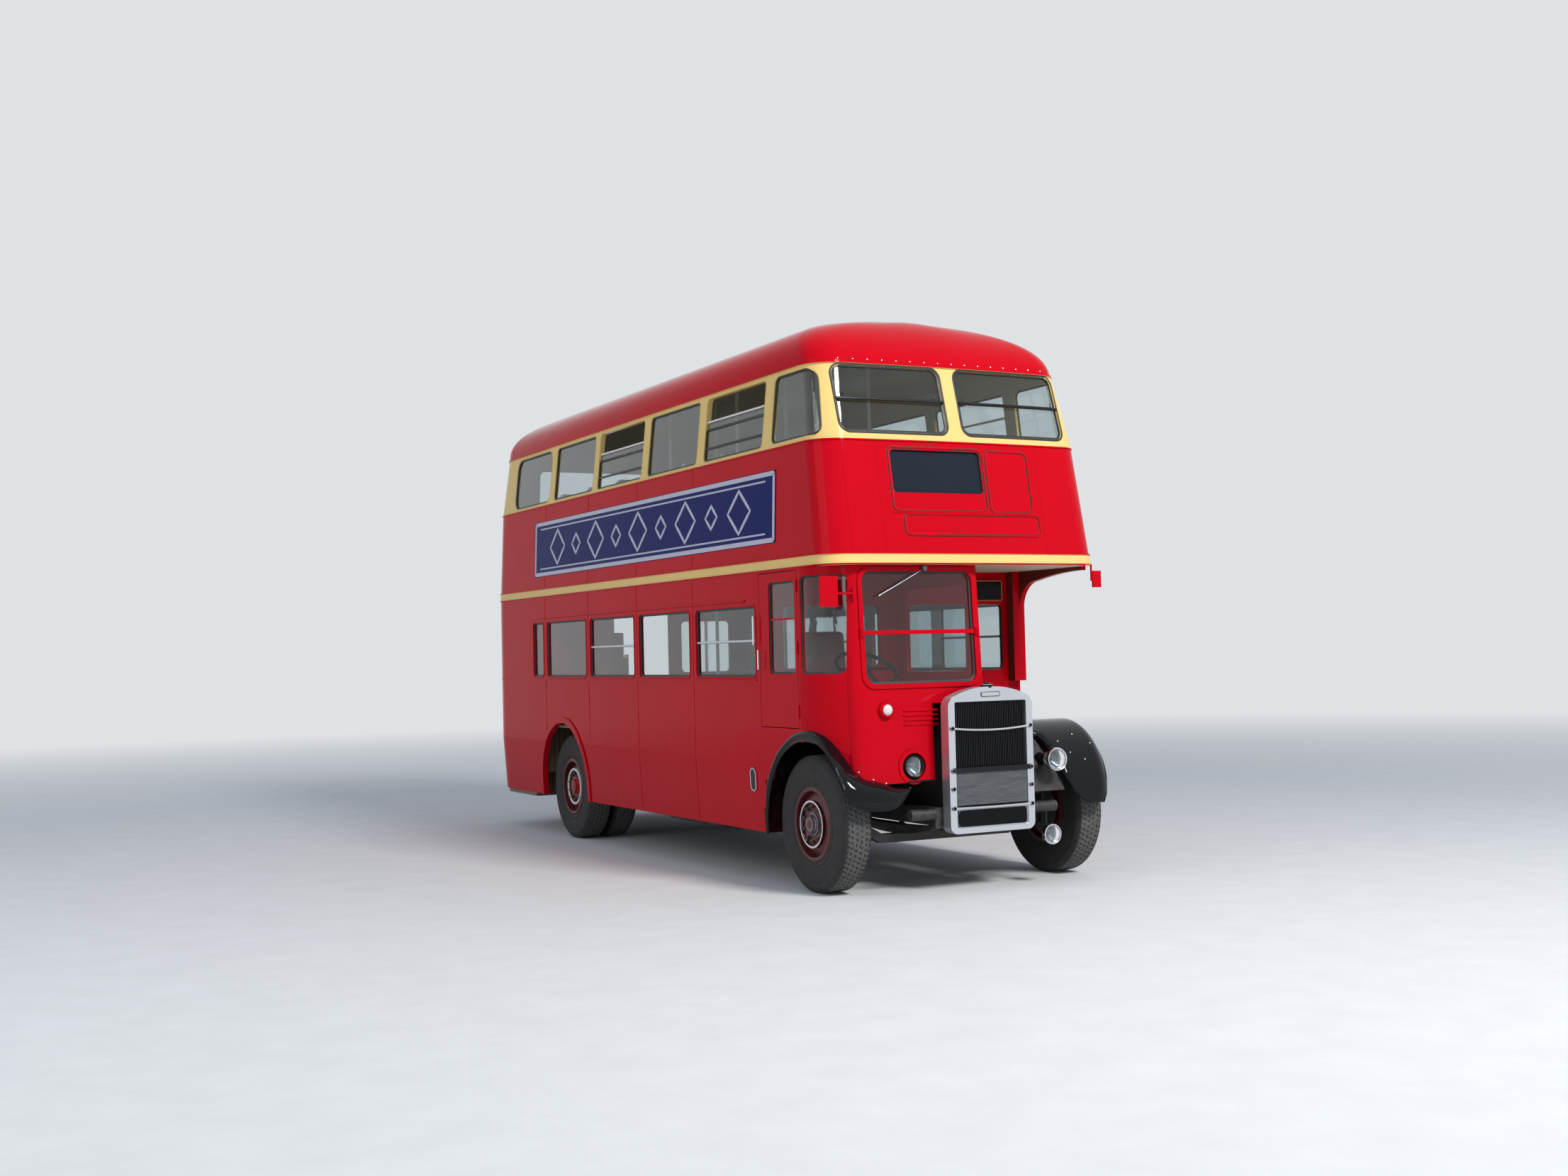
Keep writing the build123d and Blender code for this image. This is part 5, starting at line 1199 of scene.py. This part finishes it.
def wing_profile(angle, inset):
    """The wing's section from its inner flange over the shoulder to the arch, as (x, radius)."""
    reach, outer, shoulder, inner = wing_at(angle)
    fold = 0.030 * share_of(angle, 104, 116) - 0.020 * share_of(angle, 146, 158)
    reach, outer, shoulder = reach - inset, outer - inset, shoulder - inset
    start = inner + fold + 0.002
    curve = [(inner + inset * 0.5, reach - fold * 2.2), (inner, reach - fold * 1.1)]
    curve += [(inner + fold * 0.3, reach - fold * 0.3)]
    curve += [(start + (outer - shoulder - start) * k / 10, reach) for k in range(10)]
    drop = min(reach - ARCH_R, shoulder) / shoulder
    end = math.acos(max(1 - drop, 0.0)) if drop < 1 else math.pi / 2
    for k in range(13):
        turn = end * k / 12
        x = outer - shoulder + shoulder * math.sin(turn)
        curve.append((x, reach - shoulder + shoulder * math.cos(turn)))
    return curve + [(curve[-1][0], min(ARCH_R, curve[-1][1]))]


def wing_point(angle, x, radius):
    """A point of the wing from its section's own coordinates."""
    turn = math.radians(angle)
    return row(x, ARCH_CENTRE[0] + radius * math.cos(turn), ARCH_CENTRE[1] + radius * math.sin(turn))


def add_nearside_wing():
    """The bulb of the nearside wing with its rolled edges, its studs, and the dull plates beside it."""
    angles = [WING_FOOT + (WING_END - WING_FOOT) * k / 90 for k in range(91)]
    rings, rim, under = [], [], []
    for angle in angles:
        outside = wing_profile(angle, 0.0)
        rings.append([wing_point(angle, x, r) for x, r in outside + wing_profile(angle, WING_T)[::-1]])
        x, radius = outside[-1]
        rim.append(wing_point(angle, x - 0.005, radius + 0.004))
        if 104.0 <= angle <= 160.0:
            radius = wing_at(angle)[0] - 0.004 - 0.075 * share_of(angle, 104, 124)
            under.append([wing_point(angle, x, radius) for x in (0.402, 0.55, 0.70, 0.76)])
    shell = grid(rings, close_across=True)
    foot = [wing_point(WING_END, x, r - 0.003) for x, r in wing_profile(WING_END, 0.0)[3:]]
    form = joined(shell, tube(rim, 0.006, 8), tube(foot, 0.007, 8))
    piece("wing_bulb_nearside", form, "black", split=50.0, stands_for=("wing_nearside",))
    above_foot = [angle for angle in angles if angle > 14.0]
    plates = [face([wing_point(a, x, wing_at(a)[0] - 0.004) for a in above_foot]) for x in (0.401, 0.411)]
    piece("wing_plates_nearside", joined(*plates, grid(under)), "chassis", smooth=False)
    tree = BVHTree.FromPolygons(*shell)
    studs = []
    for x, z in WING_STUDS:
        point, normal, _, _ = tree.ray_cast(row(x, -1.5, z), BACK)
        studs.append((point, normal if normal.y < 0 else -normal))
    piece("wing_studs_nearside", heads(studs, 0.007, 0.005), "chrome")


# The offside wing round the wheel and under the cab's front, from the axle: where it meets the
# body, its shoulder, and its free edge
WING_STATIONS = (
    ((-1.200, 0.597, 0.390), (-1.240, 0.598, 0.390), (-1.215, 0.570, 0.390)),
    ((-1.200, 0.598, 0.575), (-1.240, 0.598, 0.575), (-1.215, 0.564, 0.573)),
    ((-1.200, 0.590, 0.745), (-1.240, 0.586, 0.743), (-1.215, 0.527, 0.720)),
    ((-1.200, 0.497, 0.915), (-1.244, 0.490, 0.910), (-1.215, 0.444, 0.873)),
    ((-1.200, 0.350, 1.058), (-1.246, 0.345, 1.052), (-1.215, 0.313, 1.006)),
    ((-1.200, 0.132, 1.170), (-1.246, 0.130, 1.164), (-1.215, 0.114, 1.100)),
    ((-1.198, -0.040, 1.203), (-1.246, -0.040, 1.194), (-1.215, -0.040, 1.122)),
    ((-1.168, -0.157, 1.197), (-1.244, -0.162, 1.190), (-1.215, -0.165, 1.116)),
    ((-1.120, -0.280, 1.137), (-1.240, -0.300, 1.140), (-1.214, -0.280, 1.092)),
    ((-1.060, -0.372, 1.013), (-1.216, -0.440, 1.035), (-1.205, -0.440, 0.990)),
    ((-1.030, -0.418, 0.937), (-1.195, -0.510, 0.958), (-1.192, -0.505, 0.885)),
    ((-0.998, -0.450, 0.891), (-1.165, -0.575, 0.905), (-1.181, -0.550, 0.814)),
    ((-0.955, -0.478, 0.854), (-1.110, -0.618, 0.860), (-1.166, -0.580, 0.740)),
    ((-0.900, -0.490, 0.837), (-1.045, -0.645, 0.832), (-1.125, -0.600, 0.679)),
    ((-0.850, -0.501, 0.825), (-0.965, -0.660, 0.812), (-1.040, -0.620, 0.648)),
    ((-0.790, -0.499, 0.807), (-0.865, -0.665, 0.793), (-0.913, -0.630, 0.636)),
    ((-0.738, -0.484, 0.787), (-0.780, -0.650, 0.782), (-0.806, -0.622, 0.645)),
    ((-0.690, -0.484, 0.783), (-0.715, -0.625, 0.778), (-0.733, -0.602, 0.680)),
    ((-0.650, -0.484, 0.781), (-0.660, -0.585, 0.778), (-0.665, -0.572, 0.735)),
    ((-0.615, -0.484, 0.780), (-0.613, -0.535, 0.780), (-0.610, -0.532, 0.774)),
)
SWEPT_T = 0.003
JOINT_STUDS = ((-1.012, 0.904), (-0.905, 0.846), (-0.800, 0.815), (-0.680, 0.798), (-0.30, 0.818))


def smoothed(points, parts):
    """A smooth run through points, each gap divided into parts."""
    points = [Vector(p) for p in points]
    made = []
    for i in range(len(points) - 1):
        a, b, c, d = points[max(i - 1, 0)], points[i], points[i + 1], points[min(i + 2, len(points) - 1)]
        for k in range(parts):
            t = k / parts
            square = (a * 2 - b * 5 + c * 4 - d) * t * t
            cube = (b * 3 - a - c * 3 + d) * t**3
            made.append((b * 2 + (c - a) * t + square + cube) / 2)
    return made + [points[-1]]


def wing_top(y):
    """The height of the CAD wing's ellipse at a distance from the axle."""
    share = (y - ARCH_CENTRE[0]) / (WING_REACH[0] if y > ARCH_CENTRE[0] else WING_REACH[2])
    return ARCH_CENTRE[1] + WING_REACH[1] * math.sqrt(max(1 - share * share, 0.0))


def add_offside_wing():
    """The offside wing: a rolled lip on the cab's side that sweeps forward into a nose under its front."""
    runs = [smoothed([station[k] for station in WING_STATIONS], 6) for k in range(3)]
    centre = Vector((-0.85, 0.0, ARCH_CENTRE[1]))
    steps = 14
    shares = [k / steps for k in range(steps + 1)]
    outer = []
    for joint, shoulder, free in zip(*runs):
        outer.append([joint * (1 - t) ** 2 + shoulder * 2 * t * (1 - t) + free * t * t for t in shares])
    rings, edge = [], []
    for i, ring in enumerate(outer):
        before, after = outer[max(i - 1, 0)], outer[min(i + 1, len(outer) - 1)]
        under = []
        for j, point in enumerate(ring):
            across = ring[min(j + 1, steps)] - ring[max(j - 1, 0)]
            normal = (after[j] - before[j]).cross(across).normalized()
            if normal.dot(point - centre) < 0:
                normal = -normal
            under.append(point - normal * SWEPT_T)
        rings.append([row(*p) for p in ring + under[::-1]])
        edge.append(row(*((ring[-1] + under[-1]) / 2)))
    form = joined(grid(rings, close_across=True, caps=True), tube(edge, 0.0075, 8))
    piece("wing_swept_offside", form, "black", split=50.0, stands_for=("wing_offside",))
    skin = Skin("cab_front", "cab_side")
    sheet = []
    for x, y, z in runs[0]:
        if -0.47 < y < -0.10:
            on_cab = skin.hit(row(-1.6, y, 1.28), Vector((1, 0, 0)))[0]
            levels = (z - 0.02, max(z, wing_top(y)) + 0.02)
            sheet.append([Vector((on_cab.x - 0.0015, on_cab.y, level)) for level in levels])
    piece("cab_corner_sheet", grid(sheet), "red")
    piece("wing_joint_studs", heads(skin.front(JOINT_STUDS), 0.0075, 0.005), "chrome")
    lip = skin.front([(-0.615 + 0.335 * k / 12, 0.816) for k in range(13)])
    piece("apron_bead", tube(raised(lip, 0.002), 0.008, 8), "trim_black")


# The radiator: how far its bars reach from its middle, the places of its studs, and turned parts
GRILLE_HALF = 0.343
STUDS_Z = (1.195, 0.889, 0.757, 0.617)
STUD = ((0.0, 0.0), (0.0, 0.009), (-0.003, 0.0155), (-0.016, 0.0155))
RADIATOR_CAP = (
    (0.0, 0.0), (0.0, 0.020), (-0.006, 0.0205), (-0.016, 0.0205), (-0.018, 0.046), (-0.024, 0.0465),
    (-0.040, 0.0465), (-0.042, 0.038), (-0.052, 0.036),
)


def add_radiator_details():
    """The cap, the blank plaque and plate, studs and bars over the slats."""
    bars, studs = [], []
    for z, sag in ((STUDS_Z[0], 0.020), (STUDS_Z[-1], 0.004)):
        path = []
        for k in range(25):
            x = GRILLE_HALF * (k / 12 - 1)
            path.append(Vector((x, AXLE_Y - 0.692, z - sag * (1 - (x / GRILLE_HALF) ** 2))))
        bars.append(tube(path, 0.0078, 10))
    cover_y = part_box("radiator_cover")[0].y
    for x in (-GRILLE_HALF, GRILLE_HALF):
        studs += [lathe(STUD, Vector((x, cover_y, z)), AHEAD, 20) for z in STUDS_Z]
    dark_bar = block(row(-GRILLE_HALF, -0.6925, 0.871), row(GRILLE_HALF, -0.683, 0.907))
    dark = joined(lathe(RADIATOR_CAP, row(0.0, -0.640, 1.5225), UP, 40), dark_bar)
    piece("radiator_bar_bright", bars, "aluminium")
    piece("radiator_bar_dark", dark, "trim_black", split=40.0)
    piece("radiator_studs", studs, "steel")
    outline = rounded(-0.300, 0.300, 0.478, 0.598, 0.03)
    back, plate = [[row(x, y, z) for x, z in outline] for y in (-0.675, -0.6835)]
    piece("blank_plate", joined(grid([back, plate], close_across=True), face(plate)), "blind", smooth=False)
    plaque = [row(x, -0.6895, z) for x, z in rounded(-0.080, 0.080, 1.420, 1.452, 0.008)]
    piece("blank_plaque", face(plaque), "aluminium", smooth=False)
    piece("plaque_rim", tube(plaque, 0.0026, 6, closed=True), "iron")


def add_number_box():
    """The dark blank display over the nearside bulkhead window, with a thin gold edge."""
    skin = Skin("bulkheads")
    pane = raised(skin.front(rounded(*NUMBER_BOX), reach=1.0), 0.002)
    piece("number_blind", face(pane), "blind", smooth=False)
    edge = skin.front(rounded(*NUMBER_BOX, grow=0.006), reach=1.0)
    piece("number_edge", strip(edge, half_round(0.008, 0.003)), "gold")


def add_screen_lugs():
    """The small hinge lugs at both ends of the windscreen's bar."""
    ends = [(x, 1.900) for x in (WINDSCREEN[0] - 0.022, WINDSCREEN[1] + 0.022)]
    lugs = []
    for point, normal in Skin("cab_front").front(ends):
        lugs.append(block(point + Vector((-0.015, -0.013, -0.030)), point + Vector((0.015, 0.004, 0.030))))
        lugs.append(tube([point + Vector((0, -0.014, z)) for z in (-0.026, 0.026)], 0.007, 10))
    piece("screen_lugs", lugs, "red")


def add_wiper():
    """The windscreen wiper, parked from its motor near the head of the screen."""
    pivot, tip = row(-0.395, -0.452, 2.372), row(-0.800, -0.462, 2.170)
    arm = tube([pivot, pivot.lerp(tip, 0.5) + AHEAD * 0.006, tip], 0.0032, 8)
    blade = tube([pivot.lerp(tip, 0.45) + BACK * 0.006, tip + BACK * 0.006], 0.0042, 6)
    motor = [(0.0, 0.0), (0.0, 0.018), (-0.01, 0.022), (-0.05, 0.022)]
    piece("wiper", joined(arm, lathe(motor, pivot + AHEAD * 0.012, AHEAD, 24)), "steel")
    piece("wiper_blade", blade, "gasket")


def add_handles():
    """The bright door handle and grab handle, and the filler's slot in its pale frame, covered flush by a
    flat black face of painted shade.
    """
    x = -SIDE_X - 0.034
    for name, y, low, high, radius, body in (
        ("door_handle_bright", 0.600, 1.650, 1.800, 0.0078, "cab_door"),
        ("grab_handle_bright", 0.672, 1.840, 2.060, 0.0094, "root"),
    ):
        bar = tube([row(x, y, low), row(x, y, high)], radius, 12)
        for z in (low + 0.0075, high - 0.0075):
            bar = joined(bar, tube([row(x, y, z), row(-SIDE_X + 0.002, y, z)], radius, 12))
        piece(name, bar, "chrome", body)
    places = Skin("lower_side_offside").side(rounded(*FILLER, grow=0.004, pitch=0.03), -1)
    slot = raised(places, 0.001)
    # Painted shade: a flat black face laid flush over the filler's opening.
    piece("filler_shade_face", face(slot), "trim_black", smooth=False)
    piece("filler_frame", tube(slot, 0.0055, 8, closed=True), "pale")


# The rear platform: half width, front and rear ends, corner radius, underside and top
PLATFORM_HALF = 1.180
PLATFORM_Y = (5.860, 7.125)
PLATFORM_CORNER = 0.480
PLATFORM_Z = (0.362, 0.3995)


def add_platform():
    """The rear platform's boards and the bright strip along their edge."""
    front, rear = PLATFORM_Y
    x, y = PLATFORM_HALF - PLATFORM_CORNER, rear - PLATFORM_CORNER
    outline = [(-PLATFORM_HALF, front), (PLATFORM_HALF, front)]
    outline += arc(x, y, PLATFORM_CORNER, 0, 90) + arc(-x, y, PLATFORM_CORNER, 90, 180)
    levels = [[row(*p, z) for p in outline] for z in PLATFORM_Z]
    piece("platform_boards", grid(levels, close_across=True, caps=True), "boards", smooth=False)
    edge = [row(*p, PLATFORM_Z[1] - 0.016) for p in outline[1:12] + [(0.250, rear)]]
    piece("platform_edge", tube(edge, 0.012, 8), "aluminium")


# Inside. The seats' distance from the middle, widths and places along each deck
SEAT_X, SEAT_W, NARROW_SEAT_W = 0.70, 0.86, 0.78
UPPER_SEATS_Y = (0.150, 0.900, 1.650, 2.400, 3.150, 3.900, 4.650)
LOWER_SEATS_Y = (0.880, 1.560, 2.240, 2.920, 3.600)
LOWER_FLOOR_Z = 0.660
LEG_R, RAIL_R = 0.013, 0.014


def bench_cushions(place, width):
    """A double seat's two cushions and back, as the CAD bench sits."""
    forms = []
    for dx in (-width / 4, width / 4):
        seat = soft_box((width / 2 - 0.006, 0.44, 0.115), 0.045)
        forms.append(moved(seat, place + Vector((dx, 0.215, 0.398))))
    back = soft_box((width - 0.01, 0.075, 0.50), 0.034)
    return joined(*forms, moved(back, place + Vector((0, 0.472, 0.655)), -12))


def bench_frame(place, width):
    """A double seat's top rail and legs."""
    high, out, bend = 0.915, width / 2 - 0.02, 0.06
    rail = [Vector((-out, 0.50, 0.45))]
    for k in range(13):
        turn = math.pi * k / 12
        corner = out - bend if k < 6.5 else bend - out
        rail.append(Vector((-corner - bend * math.cos(turn), 0.575, high - bend + bend * math.sin(turn))))
    rail.append(Vector((out, 0.50, 0.45)))
    legs = []
    for dx in (bend - width / 2, width / 2 - bend):
        for foot, head in (
            ((0.09, 0.005), (0.09, 0.35)),
            ((0.36, 0.005), (0.36, 0.35)),
            ((0.09, 0.335), (0.42, 0.335)),
        ):
            legs.append(tube([place + Vector((dx, *foot)), place + Vector((dx, *head))], LEG_R, 8))
    return tube([p + place for p in rail], RAIL_R, 8), joined(*legs)


def soft_piece(name, form, material, node):
    """A padded piece that stands for a seat's CAD node."""
    made = piece(name, form, material, stands_for=(node,))


def add_seats():
    """Cushions, rails and legs of the seats on both decks, and the driver's seat."""
    upper_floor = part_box("upper_floor")[1].z
    upper = [row(sign * SEAT_X, y, upper_floor) for y in UPPER_SEATS_Y for sign in (-1, 1)]
    lower = [row(sign * SEAT_X, y, LOWER_FLOOR_Z) for y in LOWER_SEATS_Y for sign in (-1, 1)]
    narrow = [row(0.66, y, upper_floor) for y in (5.50, 6.20)]
    for deck, places in (("upper", upper + narrow), ("lower", lower)):
        cushions, rails, legs = [], [], []
        for place in places:
            width = NARROW_SEAT_W if place in narrow else SEAT_W
            cushions.append(bench_cushions(place, width))
            rail, leg = bench_frame(place, width)
            rails.append(rail)
            legs.append(leg)
        if deck == "lower":
            for sign in (-1, 1):
                cushions.append(moved(soft_box((0.46, 1.22, 0.10), 0.045), row(sign * 0.84, 4.98, 1.165)))
                cushions.append(moved(soft_box((0.08, 1.22, 0.42), 0.035), row(sign * 1.105, 4.98, 1.385)))
        soft_piece(deck + "_cushions", cushions, "moquette", deck + "_seats")
        piece(deck + "_seat_rails", rails, "chrome")
        piece(deck + "_seat_legs", legs, "chassis")
    low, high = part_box("driver_seat")
    x = (low.x + high.x) / 2
    seat = moved(soft_box((0.44, 0.42, 0.12), 0.05), Vector((x, low.y + 0.21, low.z + 0.34)))
    back = moved(soft_box((0.42, 0.09, 0.38), 0.04), Vector((x, high.y - 0.075, low.z + 0.58)), -8)
    soft_piece("driver_cushions", joined(seat, back), "leather", "driver_seat")
    foot = block((x - 0.13, low.y + 0.10, low.z), (x + 0.13, low.y + 0.33, low.z + 0.28))
    piece("driver_seat_stand", foot, "chassis", smooth=False)


# Stage


def make_camera():
    """The photograph's camera, solved from the body's lines."""
    place = row(-7.3106, -11.3473, 1.7644)
    yaw, pitch, roll = (math.radians(a) for a in (27.790, 2.168, -1.362))
    photo_width, focal_pixels, sensor_width = 2212.0, 2461.48, 36.0
    forward = Vector((math.sin(yaw) * math.cos(pitch), math.cos(yaw) * math.cos(pitch), math.sin(pitch)))
    level = Vector((math.cos(yaw), -math.sin(yaw), 0.0))
    upright = level.cross(forward)
    right = level * math.cos(roll) + upright * math.sin(roll)
    up = upright * math.cos(roll) - level * math.sin(roll)
    camera = added("camera", bpy.data.cameras.new("camera"))
    camera.matrix_world = Matrix.Translation(place) @ Matrix((right, up, -forward)).transposed().to_4x4()
    camera.data.sensor_width = sensor_width
    camera.data.lens = sensor_width * focal_pixels / photo_width
    camera.data.clip_end = 500.0
    bpy.context.scene.camera = camera


def softbox(name, place, aim, size, power):
    """A large soft lamp aimed at a point."""
    lamp = bpy.data.lights.new(name, "AREA")
    lamp.shape = "RECTANGLE"
    lamp.size, lamp.size_y = size
    lamp.energy = power
    holder = added(name, lamp)
    holder.location = place
    holder.rotation_euler = (Vector(aim) - Vector(place)).to_track_quat("-Z", "Y").to_euler()


def make_stage():
    """Floor, world and soft lamps."""
    half = 120.0
    mesh = bpy.data.meshes.new("floor")
    corners = [(-half, -half, 0), (half, -half, 0), (half, half, 0), (-half, half, 0)]
    mesh.from_pydata(corners, [], [(0, 1, 2, 3)])
    mesh.materials.append(floor_material())
    added("floor", mesh)
    n = Nodes("studio", world=True)
    bpy.context.scene.world = n.made
    n.tree.nodes.clear()
    rays = n.add("LightPath").outputs
    seen = n.either(n.either(rays["Is Camera Ray"], rays["Is Glossy Ray"]), rays["Is Transmission Ray"])
    soft = n.add("Background", Color=(0.72, 0.83, 1.0), Strength=0.50).outputs[0]
    shown = n.add("Background", Color=BACKGROUND).outputs[0]
    n.add("OutputWorld", Surface=n.add("MixShader", i0=seen, i1=soft, i2=shown).outputs[0])
    softbox("key", (2.0, -17.0, 13.0), (0.0, -1.0, 2.0), (4.0, 4.0), 3000.0)
    softbox("fill", (-14.0, -4.0, 7.0), (0.0, 0.0, 2.0), (8.0, 8.0), 350.0)


dress_nodes()
for node in ("upper_front_panel", "upper_rear_panel"):
    smooth_skin(node, "body")
add_roof()
add_corner_pillars()
add_tyres()
add_wheel_details()
add_window_seals()
add_window_bars()
add_side_trim()
add_front_trim()
add_side_boards()
add_nearside_wing()
add_offside_wing()
add_lamps()
add_radiator_details()
add_number_box()
add_screen_lugs()
add_wiper()
add_handles()
add_platform()
add_seats()
make_camera()
make_stage()
bpy.context.scene.view_settings.view_transform = "Standard"
